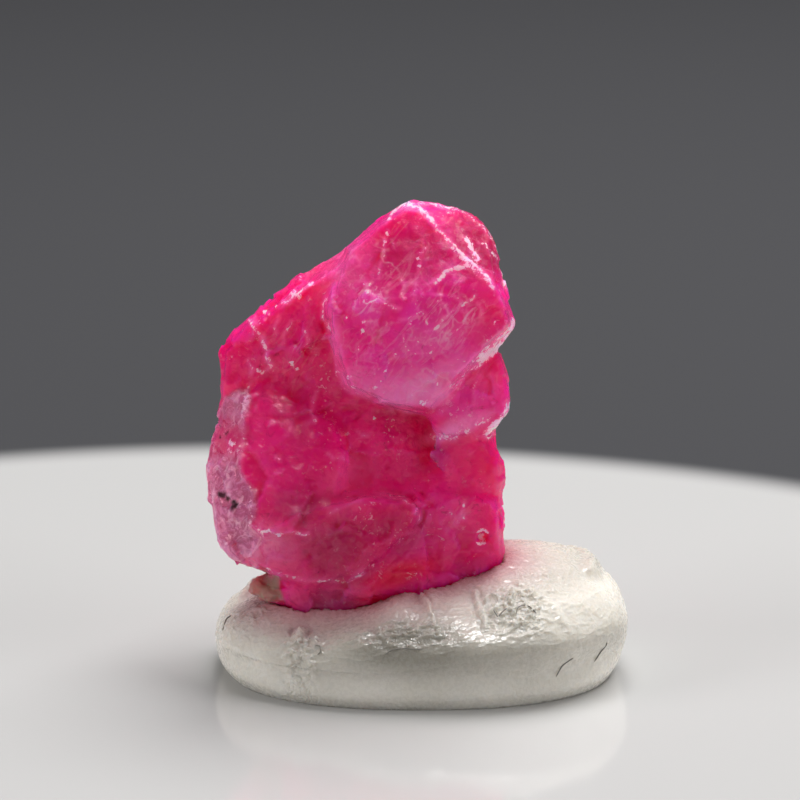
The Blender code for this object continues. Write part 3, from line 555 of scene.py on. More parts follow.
def cell_random(cells, seed):
    """A fixed number from 0 to 1 for each whole-numbered cell, by mixing its coordinates' bits."""
    mixed = (cells.astype(np.int64).astype(np.uint64) * AXIS_KEYS).sum(axis=-1)
    mixed = mixed + np.uint64(seed * SEED_KEY)
    for shift in (33, 29):
        mixed = (mixed ^ (mixed >> np.uint64(shift))) * MIXING_KEY
    return ((mixed >> np.uint64(40)) & LOW_BITS).astype(float) / float(LOW_BITS)


def soft_noise(points, size, seed):
    """Noise from -1 to 1: random values at the corners of cubes of this size, blended smoothly."""
    scaled = points / size
    base = np.floor(scaled)
    share = smooth_step(scaled - base, 0.0, 1.0)
    total = np.zeros(len(points))
    for corner in np.ndindex(*(2,) * points.shape[1]):
        offset = np.array(corner)
        weight = np.prod(np.where(offset == 1, share, 1.0 - share), axis=-1)
        cells = np.zeros((len(points), 3))
        cells[:, : points.shape[1]] = base + offset
        total += weight * cell_random(cells, seed)
    return total * 2.0 - 1.0


def layered_noise(points, size, layers, seed):
    """Soft noise summed over layers, each half the size and half the height of the last."""
    total = np.zeros(len(points))
    for layer in range(layers):
        total += soft_noise(points, size / 2**layer, seed + layer) / 2**layer
    return total


def wander(points, reach, size, layers, seeds):
    """A shift for each point: the reach times one layered noise along each axis."""
    return reach * np.stack([layered_noise(points, size, layers, seed) for seed in seeds], -1)


def broken_patches(points, size, step, tilt, seed):
    """Heights of a surface broken in flat patches.

    Space is filled with one jittered centre per cube. Each point belongs to the nearest centre. Its
    height is that centre's random step plus a random slope times the way from the centre.
    """
    scaled = points / size
    base = np.floor(scaled)
    best = np.full(len(points), 1e9)
    height = np.zeros(len(points))
    for corner in np.ndindex(3, 3, 3):
        cell = base + np.array(corner) - 1
        jitter = np.stack([cell_random(cell, seed + k) for k in (1, 2, 3)], axis=-1)
        way = scaled - (cell + 0.15 + 0.7 * jitter)
        distance = np.linalg.norm(way, axis=-1)
        slope = np.stack([cell_random(cell, seed + k) for k in (4, 5, 6)], axis=-1) * 2.0 - 1.0
        here = step * (cell_random(cell, seed + 7) * 2.0 - 1.0)
        here = here + tilt * size * (slope * way).sum(axis=-1)
        height = np.where(distance < best, here, height)
        best = np.minimum(best, distance)
    return height


def path_distance(points, path):
    """The distance from each 2-D point to the nearest place on a path of straight pieces."""
    nearest = np.full(len(points), 1e9)
    for start, end in zip(np.array(path[:-1]), np.array(path[1:])):
        way = end - start
        along = np.clip((points - start) @ way / (way @ way), 0.0, 1.0)
        gap = np.linalg.norm(points - start - along[:, None] * way, axis=-1)
        nearest = np.minimum(nearest, gap)
    return nearest


def inside_outline(points, outline, soft):
    """1 inside a closed outline and 0 outside, blended over a soft distance at its border."""
    inside = np.zeros(len(points), bool)
    for (x0, y0), (x1, y1) in zip(outline, outline[1:] + outline[:1]):
        spans = (points[:, 1] > min(y0, y1)) & (points[:, 1] <= max(y0, y1))
        if y0 != y1:
            crossing = x0 + (points[:, 1] - y0) * (x1 - x0) / (y1 - y0)
            inside ^= spans & (points[:, 0] < crossing)
    gap = path_distance(points, outline + outline[:1])
    return smooth_step(np.where(inside, gap, -gap), -soft, soft)


def cloud(points, middle_u, middle_v, reach_u, reach_v, turn, strength):
    """A soft oval: strength times exp(-((a/reach_u)^2 + (b/reach_v)^2)^1.5) in its turned axes."""
    angle = math.radians(turn)
    u, v = points[:, 0] - middle_u, points[:, 1] - middle_v
    a = u * math.cos(angle) + v * math.sin(angle)
    b = v * math.cos(angle) - u * math.sin(angle)
    return strength * np.exp(-(((a / reach_u) ** 2 + (b / reach_v) ** 2) ** 1.5))


def spots(points, places):
    """The strongest of round spots, each 1 at its middle and 0 at its radius."""
    strength = np.zeros(len(points))
    for u, v, radius in places:
        gap = np.hypot(points[:, 0] - u, points[:, 1] - v)
        strength = np.maximum(strength, smooth_step(-gap, -radius, -0.4 * radius))
    return strength


def to_crystal_frame(points):
    """Part coordinates in millimetres as the crystal's own U, V and W."""
    x = points[:, 0] - SIDE_SHIFT
    y, z = points[:, 1], points[:, 2] - FOOT_HEIGHT
    sine, cosine = math.sin(LEAN_BACK), math.cos(LEAN_BACK)
    return np.stack([x, y * sine + z * cosine, z * sine - y * cosine], axis=-1)


def vertex_arrays(mesh):
    """A mesh's points in millimetres and its unit vertex normals."""
    points = np.empty(len(mesh.vertices) * 3, np.float32)
    mesh.vertices.foreach_get("co", points)
    normals = np.empty(len(mesh.vertices) * 3, np.float32)
    mesh.vertex_normals.foreach_get("vector", normals)
    return points.reshape(-1, 3).astype(float) / MM, normals.reshape(-1, 3).astype(float)


def place_points(mesh, points):
    """Puts points in millimetres into a mesh, kept within the solids' box."""
    low = np.array(CAD_BOX[0]) / MM
    high = np.array(CAD_BOX[1]) / MM
    low = low + np.array([BOX_MARGIN, BOX_MARGIN, 0.0])
    points = np.clip(points, low, high - BOX_MARGIN)
    mesh.vertices.foreach_set("co", (points * MM).astype(np.float32).ravel())
    mesh.update()


def store_mask(mesh, name, values):
    """Stores one number per vertex for a material to read."""
    mask = mesh.attributes.new(name, "FLOAT", "POINT")
    mask.data.foreach_set("value", np.clip(values, 0.0, 1.0).astype(np.float32))


def smoothed(mesh, points, passes):
    """The points after each has moved to the mean of its neighbours, this many times over."""
    ends = np.empty(len(mesh.edges) * 2, np.int32)
    mesh.edges.foreach_get("vertices", ends)
    ends = ends.reshape(-1, 2)
    here, there = np.concatenate([ends, ends[:, ::-1]]).T
    count = np.bincount(here, minlength=len(points))
    for _ in range(passes):
        axes = [np.bincount(here, points[there, k], len(points)) / count for k in range(3)]
        points = np.stack(axes, axis=-1)
    return points


def new_object(name, mesh):
    """Links a finished mesh as an object at the origin."""
    thing = bpy.data.objects.new(name, mesh)
    bpy.context.scene.collection.objects.link(thing)
    return thing


def rebuilt_copy(node, name, voxel):
    """A merged copy of a solid's mesh, rebuilt with even cells of one size."""
    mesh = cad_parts[node].data.copy()
    work = bmesh.new()
    work.from_mesh(mesh)
    bmesh.ops.remove_doubles(work, verts=work.verts[:], dist=1e-7)
    work.to_mesh(mesh)
    work.free()
    mesh.materials.clear()
    copy = new_object(name + "_cells", mesh)
    cells = copy.modifiers.new("cells", "REMESH")
    cells.mode = "VOXEL"
    cells.voxel_size = voxel
    cells.use_smooth_shade = True
    graph = bpy.context.evaluated_depsgraph_get()
    rebuilt = bpy.data.meshes.new_from_object(copy.evaluated_get(graph))
    bpy.data.objects.remove(copy)
    rebuilt.name = name
    return rebuilt


def grid_mesh(name, points):
    """A mesh through a grid of points (rows, columns, 3) in millimetres, closed round its columns.

    One face fills the first row's ring, and one the last row's.
    """
    rows, columns = points.shape[:2]
    i, j = np.meshgrid(np.arange(rows - 1), np.arange(columns), indexing="ij")
    after = (j + 1) % columns
    faces = np.stack(
        [i * columns + j, i * columns + after, (i + 1) * columns + after, (i + 1) * columns + j],
        axis=-1,
    ).reshape(-1, 4)
    mesh = bpy.data.meshes.new(name)
    mesh.from_pydata((points.reshape(-1, 3) * MM).tolist(), [], faces.tolist())
    work = bmesh.new()
    work.from_mesh(mesh)
    bmesh.ops.holes_fill(work, edges=[e for e in work.edges if e.is_boundary], sides=0)
    bmesh.ops.recalc_face_normals(work, faces=work.faces[:])
    for face in work.faces:
        face.smooth = True
    work.to_mesh(mesh)
    work.free()
    return mesh


def add_node(tree, kind, values=None, links=None, **settings):
    """Adds a node, sets its options and input values, and links outputs into its inputs."""
    node = tree.nodes.new(kind)
    for name, value in settings.items():
        setattr(node, name, value)
    for name, value in (values or {}).items():
        node.inputs[name].default_value = value
    for name, output in (links or {}).items():
        tree.links.new(output, node.inputs[name])
    return node


def new_material(name, noises, masks=()):
    """A node material with its tree, its output and the named outputs of its patterns.

    The patterns are noises on Object coordinates and masks that are stored on the mesh.
    """
    material = bpy.data.materials.new(name)
    material.use_nodes = True
    tree = material.node_tree
    tree.nodes.clear()
    output = tree.nodes.new("ShaderNodeOutputMaterial")
    place = add_node(tree, "ShaderNodeTexCoord").outputs["Object"]
    out = {"place": place}
    for label, values in noises.items():
        node = add_node(
            tree, "ShaderNodeTexNoise", dict(zip(NOISE_INPUTS, values)), {"Vector": place}
        )
        out[label], out[label + "_colour"] = node.outputs["Fac"], node.outputs["Color"]
    for label in masks:
        out[label] = add_node(tree, "ShaderNodeAttribute", attribute_name=label).outputs["Fac"]
    return material, tree, output, out


def patterned(tree, out, steps, base, layers, bumps=()):
    """A material's colour and normal, worked out from its tables.

    A step adds a named output, and its inputs are numbers or the names of earlier outputs. The
    colour is the base with each layer's colour laid over it by its named share. The normal has each
    bump laid over the last, given as its input values and its links.
    """
    for name, *inputs in steps:
        settings = {"operation": "MULTIPLY_ADD", "use_clamp": True}
        if isinstance(inputs[-1], dict):
            settings.update(inputs.pop())
        links = {i: out[value] for i, value in enumerate(inputs) if isinstance(value, str)}
        numbers = {i: value for i, value in enumerate(inputs) if i not in links}
        node = add_node(tree, "ShaderNodeMath", {2: 0.0, **numbers}, links, **settings)
        out[name] = node.outputs[0]
    colour, normal = None, None
    for share, tone in layers:
        values, links = {7: (*tone, 1.0)}, {0: out[share]}
        if colour is None:
            values[6] = (*base, 1.0)
        else:
            links[6] = colour
        colour = add_node(tree, "ShaderNodeMix", values, links, data_type="RGBA").outputs[2]
    for values, links in bumps:
        if normal is not None:
            links = {**links, "Normal": normal}
        normal = add_node(tree, "ShaderNodeBump", values, links).outputs["Normal"]
    return colour, normal


def ruby_material(settings):
    """Natural corundum as it grew and broke: glassy fracture faces, milky inside, crushed edges.

    The eye gets a wet gloss and sharp glints from its high refraction, and a red glow, because red
    light travels furthest inside it. Its colour also holds painted glints, painted highlights on
    seams and edges, a painted glow on the lower edge, and painted shade under the slab and on the
    bevel.
    """
    material, tree, output, out = new_material(
        "raw_corundum_fractured", RUBY_NOISES, RUBY_MASKS
    )
    # Broken facets some 0.15 mm across: each cell slopes its own way from its middle
    bent = add_node(
        tree, "ShaderNodeVectorMath", {1: (0.00016,) * 3},
        {0: out["bending_colour"], 2: out["place"]}, operation="MULTIPLY_ADD",
    ).outputs[0]
    cells = add_node(tree, "ShaderNodeTexVoronoi", {"Scale": 6500.0}, {"Vector": bent})
    slope = add_node(
        tree, "ShaderNodeVectorMath", {1: (0.5,) * 3}, {0: cells.outputs["Color"]},
        operation="SUBTRACT",
    ).outputs[0]
    way = add_node(
        tree, "ShaderNodeVectorMath", None, {0: bent, 1: cells.outputs["Position"]},
        operation="SUBTRACT",
    ).outputs[0]
    tilted = add_node(
        tree, "ShaderNodeVectorMath", None, {0: way, 1: slope}, operation="DOT_PRODUCT"
    ).outputs["Value"]
    # Feathery flaws inside the slab, 0.3 mm across and some 1.5 mm long, leaning to the right
    leaning = add_node(
        tree, "ShaderNodeMapping",
        {"Rotation": (0.0, math.radians(-52.0), 0.0), "Scale": (2.6, 1.0, 0.8)},
        {"Vector": out["place"]}, vector_type="TEXTURE",
    ).outputs["Vector"]
    out["flaws"] = add_node(
        tree, "ShaderNodeTexNoise", dict(zip(NOISE_INPUTS, (2600.0, 4.0, 0.65, 1.2))),
        {"Vector": leaning},
    ).outputs["Fac"]
    layers = [(share, getattr(settings, tone)) for share, tone in RUBY_LAYERS]
    colour, normal = patterned(tree, out, RUBY_STEPS, settings.crimson, layers, (
        ({"Distance": 1.0}, {"Height": tilted, "Strength": out["broken"]}),
        ({"Strength": 0.8, "Distance": 0.00007}, {"Height": out["mottle"]}),
        ({"Strength": 0.7, "Distance": 0.00003}, {"Height": out["grains"]}),
    ))
    shader = add_node(
        tree, "ShaderNodeBsdfPrincipled",
        {
            "IOR": 1.77, "Specular IOR Level": 0.24, "Subsurface Weight": 0.9,
            "Subsurface Scale": settings.glow, "Subsurface Radius": (1.0, 0.12, 0.25),
        },
        {
            "Base Color": colour, "Roughness": out["rough"], "Normal": normal,
            "Transmission Weight": out["see_through"],
        },
    )
    depth = add_node(
        tree, "ShaderNodeVolumeAbsorption", {"Density": 150.0, "Color": (0.93, 0.10, 0.30, 1.0)}
    )
    tree.links.new(shader.outputs[0], output.inputs["Surface"])
    tree.links.new(depth.outputs[0], output.inputs["Volume"])
    return material


def putty_material(settings):
    """Synthetic rubber putty filled with chalk, kneaded by hand.

    The eye gets a soft, faintly waxy white with small wet glints on its wrinkles.
    """
    material, tree, output, out = new_material("kneaded_white_putty", PUTTY_NOISES, PUTTY_MASKS)
    layers = (
        ("handled", settings.shade), ("painted_shade", settings.painted_shade),
        ("painted_red_light_share", settings.painted_red_light), ("contact_shadow_share", settings.contact_shadow),
    )
    colour, normal = patterned(tree, out, PUTTY_STEPS, settings.white, layers, (
        ({"Distance": 0.00012}, {"Height": out["crinkle"], "Strength": out["wrinkled"]}),
        ({"Strength": 0.5, "Distance": 0.00002}, {"Height": out["pores"]}),
    ))
    shader = add_node(
        tree, "ShaderNodeBsdfPrincipled",
        {
            "IOR": 1.48, "Subsurface Weight": 0.35, "Subsurface Scale": 0.0006,
            "Subsurface Radius": (1.0, 0.8, 0.6),
        },
        {"Base Color": colour, "Roughness": out["rough"], "Normal": normal},
    )
    tree.links.new(shader.outputs[0], output.inputs["Surface"])
    return material


def hair_material(settings):
    """Lint and hair: dull and dark, with a faint sheen along it."""
    material, tree, output, out = new_material("lint_hair", HAIR_NOISES)
    brighter = [1.6 * value for value in settings.hair]
    colour = patterned(tree, out, (), settings.hair, [("tone", brighter)])[0]
    shader = add_node(
        tree, "ShaderNodeBsdfPrincipled", {"Roughness": 0.55}, {"Base Color": colour}
    )
    tree.links.new(shader.outputs[0], output.inputs["Surface"])
    return material


class SPECIMEN_OT_crystal(bpy.types.Operator):
    """Build the crystal's visible surface over its solid"""

    # Its blocks overhang and branch, which no grid of two parameters covers without tears. So the
    # solid's own mesh is rebuilt in even cells, and its relief is a function of the place in space.

    bl_idname = "specimen.crystal"
    bl_label = "Crystal"

    def execute(self, context):
        settings = context.scene.ruby
        mesh = rebuilt_copy("ruby_crystal", "ruby_surface", settings.voxel)
        shape, normals = vertex_arrays(mesh)
        own = to_crystal_frame(shape)

        # How much each point belongs to the crystal's front, and to what stands foremost there
        facing = to_crystal_frame(normals + np.array([SIDE_SHIFT, 0.0, FOOT_HEIGHT]))[:, 2]
        front = smooth_step(facing, -0.35, 0.1) * smooth_step(own[:, 2], 0.6, 1.3)
        outer = smooth_step(facing, -0.02, 0.2) * smooth_step(own[:, 2], 1.4, 2.0)
        warped = own[:, :2] + wander(own, *CLOUD_WANDER)
        shaken = own[:, :2] + wander(own, *SEAM_WANDER)
        chip = inside_outline(warped, CHIP_OUTLINE, 0.08) * smooth_step(own[:, 1], 1.4, 1.2)
        slab = cloud(own, *SLAB_OVAL) * front
        shoulder = cloud(own, *SHOULDER_OVAL) * (1.0 - slab)

        # Edges are rounded off, and stay crisp where the photo shows them so
        points = smoothed(mesh, shape, ROUNDING_PASSES)
        rounding = shape - points
        crisp = 0.55 + 0.4 * smooth_step(own[:, 1], 5.9, 6.6)
        crisp *= 1.0 - 0.7 * cloud(own, *SOFT_MIDDLE_OVAL)
        crisp = np.maximum(crisp, 0.9 * (1.0 - front))
        crisp *= (1.0 - chip) * (1.0 - 0.7 * smooth_step(-own[:, 1], -1.3, -0.8) * front)
        hollow = (rounding * normals).sum(axis=-1) < 0.0
        crisp = np.where(hollow, 0.3 * crisp, crisp)
        points = points + rounding * crisp[:, None]
        edges = ((shape - smoothed(mesh, shape, EDGE_PASSES)) * normals).sum(axis=-1)

        # Broken patches in two sizes, growth swells and the ridges between them
        size, step = settings.patch / MM, settings.step / MM
        large = broken_patches(own, size, step, PATCH_TILT, 11)
        small = broken_patches(own, 0.42 * size, 0.4 * step, PATCH_TILT, 31)
        height = (large + small) * (0.8 - 0.45 * slab + 0.9 * shoulder)
        height += 0.055 * layered_noise(own, 1.5, 2, 41) + 0.020 * layered_noise(own, 0.6, 3, 51)
        bent = own + wander(own, *RIDGE_WANDER)
        ridge = bell(soft_noise(bent, 1.25, 95) / 0.10)
        ridge = ridge * smooth_step(soft_noise(own, 1.1, 99), -0.2, 0.4)
        height += 0.02 * ridge * (1.0 - 0.6 * slab)

        # Seams, chipped grains, the pocket and the pit
        seam_and_glint, halo = np.zeros(len(points)), np.zeros(len(points))
        for path, half_width, rise, pale in SEAMS.values():
            gap = path_distance(shaken, path)
            height += 0.6 * rise * bell(gap / half_width) * outer
            core = np.clip(1.0 - gap / (2.0 * half_width), 0.0, 1.0)
            seam_and_glint = np.maximum(seam_and_glint, pale * core * outer)
            # A pale painted halo round each seam, which goes into the milk as painted highlight
            glow = bell(gap / (0.03 + 0.7 * half_width))
            halo = np.maximum(halo, pale * glow * outer)
        glints = spots(shaken, [(u, v, 1.5 * reach) for u, v, reach in GLINTS]) * front
        height += 0.035 * glints
        pocket_u, pocket_v, half_u, half_v, depth = POCKET
        beyond = np.maximum(
            np.abs(own[:, 0] - pocket_u) - half_u, np.abs(own[:, 1] - pocket_v) - half_v
        )
        height -= depth * smooth_step(-beyond, -0.10, 0.12) * front
        pit_u, pit_v, radius, depth = PIT
        pit_gap = np.hypot(own[:, 0] - pit_u, own[:, 1] - pit_v)
        height += 0.09 * layered_noise(own, 0.45, 3, 131) * chip
        height -= depth * smooth_step(-pit_gap, -radius, -0.3 * radius) * front
        place_points(mesh, points + normals * height[:, None])

        # What the material reads: colour clouds first, and then what was worked out above
        masks = {}
        for name, ovals in CLOUDS.items():
            masks[name] = np.maximum.reduce([cloud(warped, *oval) for oval in ovals])
        bevel, reddish = masks.pop("bevel"), masks.pop("reddish")

        def lift(name, values):
            """Raises a mask to these values where they are higher."""
            masks[name] = np.maximum(masks[name], values)

        inside = inside_outline(warped, SLAB_OUTLINE, 0.10)
        # Painted shadow: a dark band on the body under the slab's overhanging lower edge
        below = path_distance(warped, SEAMS["slab_foot_left"][0])
        lift("deep_and_shadow", 0.8 * bell(below / 0.30) * (1.0 - inside))
        lift("milk_and_highlight", masks.pop("slab_milk") * inside)
        lift("magenta", masks.pop("slab_pink") * inside)
        # Painted shade: lower broken patches are painted darker than raised ones
        raised = smooth_step(large + 0.6 * small, -step, step)
        lift("dusk_and_shade", 0.44 * (1.0 - raised) * (1.0 - 0.4 * slab))
        # Painted highlight: raised patches, ridges and the halos round the seams are painted paler
        lift("milk_and_highlight", 0.05 * smooth_step(raised, 0.7, 1.0))
        lift("milk_and_highlight", 0.07 * ridge * (1.0 - masks["plum_and_shade"]))
        lift("milk_and_highlight", 0.65 * halo)
        # Painted shade: less milky paleness on the brightly lit bevel
        masks["milk_and_highlight"] *= 1.0 - 0.7 * bevel
        behind = own[:, 2] + 1.1 * layered_noise(own, 1.3, 3, 121)
        frost = inside_outline(warped, FROST_OUTLINE, 0.10) * smooth_step(behind, -1.6, -0.6)
        frost = frost * (1.0 - 0.9 * reddish)
        lift("rime", 0.45 * frost)
        lift("feather", np.maximum(0.20 * slab, 0.5 * frost))
        # Painted highlights: the glints and a bright broken ring round the pit go into the seams
        arcs = smooth_step(np.abs(own[:, 1] - pit_v) / radius, 0.35, 0.90)
        ring_gap = np.hypot(shaken[:, 0] - pit_u, shaken[:, 1] - pit_v) - radius
        ring = 1.1 * bell(ring_gap / 0.06) * arcs * front
        seam_and_glint = np.maximum.reduce([seam_and_glint, 0.78 * glints, ring])
        # Convex edges painted pale: partly wear, partly painted highlight along the edges
        worn_and_edge_highlight = smooth_step(edges, 0.012, 0.045) * smooth_step(soft_noise(own, 0.35, 81), -0.5, 0.5)
        # Painted glints: bright flecks, most on the shoulder, the rind and the edges
        lit = 0.55 + 0.6 * shoulder + 0.8 * frost + 0.45 * smooth_step(edges, 0.004, 0.03)
        lit *= smooth_step(soft_noise(own, 0.7, 111), -0.5, 0.5)
        masks.update({
            "broken": 0.40 + 0.35 * shoulder + 0.25 * masks["plum_and_shade"] - 0.10 * slab,
            "frost": frost,
            "chip": chip,
            "speck": spots(shaken, SPECKS) * front,
            "seam_and_glint": seam_and_glint,
            "worn_and_edge_highlight": worn_and_edge_highlight * (0.12 + 0.5 * (1.0 - front) + 0.5 * shoulder),
            "painted_glint": lit * (1.0 - 0.5 * bevel),
            "wisp": np.maximum(0.06, 0.40 * slab) * (1.0 - frost),
            "clear": 1.0 - np.maximum.reduce([frost, masks["milk_and_highlight"], chip, seam_and_glint]),
        })
        for name, values in masks.items():
            store_mask(mesh, name, values)
        crystal = new_object("ruby_surface", mesh)
        mesh.materials.append(ruby_material(settings))
        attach(crystal, "root")
        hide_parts("ruby_crystal")
        return {"FINISHED"}


def hump_share(x):
    """How far the putty's hump has risen at x: 0 at the left and 1 at the right."""
    return smooth_step(x, HUMP_START, HUMP_START + HUMP_RUN)


def crown_height(x, y):
    """The putty's top at (x, y): low at the left, a hump at the right, and what fingers left."""
    crown = PUTTY_LOW_CROWN + PUTTY_HUMP * hump_share(x) * bell((y - HUMP_BACK) / HUMP_REACH)
    for x0, y0, reach_x, reach_y, height in FINGER_MARKS + PRESSED:
        crown = crown + height * np.exp(-(((x - x0) / reach_x) ** 2) - ((y - y0) / reach_y) ** 2)
    return crown


def putty_grid(columns, rows):
    """The smooth putty as a grid over the angle round it and the arc from its underside to its top.

    Each ring is a rounded oval, widest at the waist. It rises from there to the crown on a squarish
    arc, so x and y shrink with a power of the arc's cosine and z grows with a power of its sine.
    """
    turn = np.linspace(0.0, 2.0 * math.pi, columns, endpoint=False)
    arc = np.concatenate([
        np.linspace(-UNDERCUT, 0.0, rows // 7, endpoint=False),
        np.linspace(0.0, 1.0, rows - rows // 7) ** 0.8 * (math.pi / 2 - 1e-4),
    ])
    cosine, sine = np.cos(arc).clip(0.0), np.sin(arc)
    spread = np.where(arc < 0, cosine**UNDER_POWER, cosine**SHOULDER_POWER)
    lift = np.where(arc < 0, sine / math.sin(UNDERCUT), sine.clip(0.0) ** RISE_POWER)
    oval_x = np.sign(np.cos(turn)) * np.abs(np.cos(turn)) ** OVAL_POWER * PUTTY_HALF_WIDTH
    oval_y = np.sign(np.sin(turn)) * np.abs(np.sin(turn)) ** OVAL_POWER * PUTTY_HALF_DEPTH
    x = spread[:, None] * oval_x
    y = spread[:, None] * oval_y
    waist = PUTTY_WAIST + WAIST_RISE * hump_share(x)
    z = np.where(
        lift[:, None] < 0, waist * (1.0 + lift[:, None]),
        waist + (crown_height(x, y) - waist) * lift[:, None],
    )
    return np.stack([x + SIDE_SHIFT, y, z], axis=-1)


def underside_of(points, cell):
    """The lowest height of a cloud of points over each cell of a grid, and the grid's corner."""
    corner = points[:, :2].min(axis=0) - 2 * cell
    index = np.floor((points[:, :2] - corner) / cell).astype(int)
    shape = index.max(axis=0) + 3
    lowest = np.full(shape, 1e3)
    np.minimum.at(lowest, (index[:, 0], index[:, 1]), points[:, 2])
    return lowest, corner


class SPECIMEN_OT_putty(bpy.types.Operator):
    """Build the kneaded putty around the crystal's foot"""

    bl_idname = "specimen.putty"
    bl_label = "Putty"

    def execute(self, context):
        settings = context.scene.putty
        grid = putty_grid(PUTTY_COLUMNS, PUTTY_ROWS)
        points = grid.reshape(-1, 3)
        flat = points[:, :2]
        top = smooth_step(points[:, 2], 0.25, 0.9)

        # Lumps from kneading, pinched wrinkles, creases and the shelf along its front
        lump = 0.07 * layered_noise(points, 1.6, 3, 7)
        wrinkled = np.full(len(points), 0.16)
        for x0, y0, reach_x, reach_y, strength in WRINKLED:
            wrinkled = np.maximum(wrinkled, cloud(flat, x0, y0, reach_x, reach_y, 0, strength))
        folds = 1.0 - np.abs(layered_noise(points * np.array([1.0, 1.6, 1.6]), 0.42, 3, 17))
        bent = points + wander(points, *WRINKLE_WANDER)
        fine = 1.0 - np.abs(layered_noise(bent, 0.24, 2, 27))
        wrinkle = settings.wrinkle / MM
        relief = lump + wrinkled * (0.4 * wrinkle * folds**4 + 1.8 * wrinkle * fine**6)
        shaken = flat + wander(points, *CREASE_WANDER)
        upper = smooth_step(points[:, 2], 1.35, 1.9)
        for path, half_width, rise in CREASES:
            gap = path_distance(shaken, path)
            relief += rise * upper * bell(gap / half_width)
            relief -= 0.5 * rise * upper * bell((gap - 2.2 * half_width) / half_width)
        shelf = 0.10 * bell((points[:, 2] - 1.75) / 0.35)
        shelf -= 0.14 * smooth_step(-points[:, 2], -1.5, -0.7)
        relief += shelf * smooth_step(-points[:, 1], 0.5, 2.5)
        across = np.roll(grid, -1, axis=1) - np.roll(grid, 1, axis=1)
        normals = np.cross(across, np.gradient(grid, axis=0)).reshape(-1, 3)
        normals /= np.maximum(np.linalg.norm(normals, axis=-1, keepdims=True), 1e-9)
        points = points + normals * ((relief - PUTTY_SINK) * top)[:, None]

        # It is pushed up in a lip around the crystal, and stays under the crystal's foot
        stone = vertex_arrays(bpy.data.objects["ruby_surface"].data)[0]
        stone = stone[stone[:, 2] < OVERHANG_TOP]
        lowest, corner = underside_of(stone, FOOT_CELL)
        index = np.floor((points[:, :2] - corner) / FOOT_CELL).astype(int)
        index = np.clip(index, 0, np.array(lowest.shape) - 1)
        ceiling = lowest[index[:, 0], index[:, 1]]
        near = stone[(stone[:, 2] > LIP_LOW) & (stone[:, 2] < LIP_HIGH)][::9]
        close = np.full(len(points), 1e3)
        for part in np.array_split(np.flatnonzero(points[:, 2] > 1.0), 60):
            gaps = np.linalg.norm(points[part][:, None, :] - near[None], axis=-1)
            close[part] = gaps.min(axis=1)
        lip = settings.lip / MM * bell(close / 0.35)
        lip *= 0.6 + 0.6 * soft_noise(points, 0.9, 47)
        points[:, 2] += lip
        ceiling = np.maximum(ceiling - UNDER_GAP, LEAST_HEIGHT)
        points[:, 2] = np.minimum(points[:, 2], ceiling)

        # Painted shade on its lower front and its top, and painted red light and shadow by the
        # crystal
        band = bell((points[:, 2] - 1.65) / 0.70)
        spread = 0.15 + 1.0 * bell((points[:, 0] + 0.2) / 2.3)
        spread += 0.35 * smooth_step(points[:, 0], 1.0, 3.0)
        painted_shade = band * spread * smooth_step(-points[:, 1], 0.0, 2.0)
        painted_shade = np.maximum(painted_shade, 0.50 * smooth_step(points[:, 2], 2.3, 3.0))
        mesh = grid_mesh("putty_surface", points.reshape(grid.shape))
        store_mask(mesh, "painted_shade", painted_shade)
        store_mask(mesh, "painted_red_light", bell(close / 0.85))
        store_mask(mesh, "contact_shadow", bell(close / 0.30))
        store_mask(mesh, "wrinkled", wrinkled)
        place_points(mesh, vertex_arrays(mesh)[0])
        putty = new_object("putty_surface", mesh)
        mesh.materials.append(putty_material(settings))
        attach(putty, "root")
        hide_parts("mounting_putty")
        return {"FINISHED"}


def tube_along(path, radius, rounds, sides):
    """Points of a tube: a ring of points square across the eased path at each step.

    Each point is the path's place plus the radius times cos(turn) along one side vector and
    sin(turn) along the other. The radius narrows to a fifth at both ends.
    """
    path = np.array(path)
    steps = np.linspace(0.0, len(path) - 1.0, rounds)
    smooth = np.stack([np.interp(steps, np.arange(len(path)), path[:, k]) for k in range(3)], -1)
    kernel = np.array([0.25, 0.5, 0.25])
    for _ in range(EASING_PASSES):
        inner = np.stack([np.convolve(smooth[:, k], kernel, "same") for k in range(3)], -1)
        smooth[1:-1] = inner[1:-1]
    along = np.gradient(smooth, axis=0)
    along /= np.linalg.norm(along, axis=-1, keepdims=True)
    side = np.cross(along, np.array([0.3, 0.2, 1.0]))
    side /= np.linalg.norm(side, axis=-1, keepdims=True)
    other = np.cross(along, side)
    turn = np.linspace(0.0, 2.0 * math.pi, sides, endpoint=False)[None, :, None]
    width = radius * np.clip(4.0 * np.sin(np.linspace(0.02, math.pi - 0.02, rounds)), 0.2, 1.0)
    ring = np.cos(turn) * side[:, None] + np.sin(turn) * other[:, None]
    return smooth[:, None] + width[:, None, None] * ring


class SPECIMEN_OT_hairs(bpy.types.Operator):
    """Lay the hairs and lint that are caught on the putty"""

    bl_idname = "specimen.hairs"
    bl_label = "Hairs"

    def execute(self, context):
        settings = context.scene.putty
        putty = vertex_arrays(bpy.data.objects["putty_surface"].data)[0]
        work = bmesh.new()
        for path in HAIRS:
            path = np.array(path)
            for place in path:
                nearest = putty[np.argmin(np.linalg.norm(putty - place, axis=-1))]
                place[:] = nearest + np.array(HAIR_LIFT)
            tube = tube_along(path, 0.5 * settings.hair_width / MM, HAIR_ROUNDS, HAIR_SIDES)
            mesh = grid_mesh("hair", tube)
            work.from_mesh(mesh)
            bpy.data.meshes.remove(mesh)
        mesh = bpy.data.meshes.new("putty_hairs")
        work.to_mesh(mesh)
        work.free()
        hairs = new_object("putty_hairs", mesh)
        mesh.materials.append(hair_material(settings))
        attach(hairs, "root")
        return {"FINISHED"}


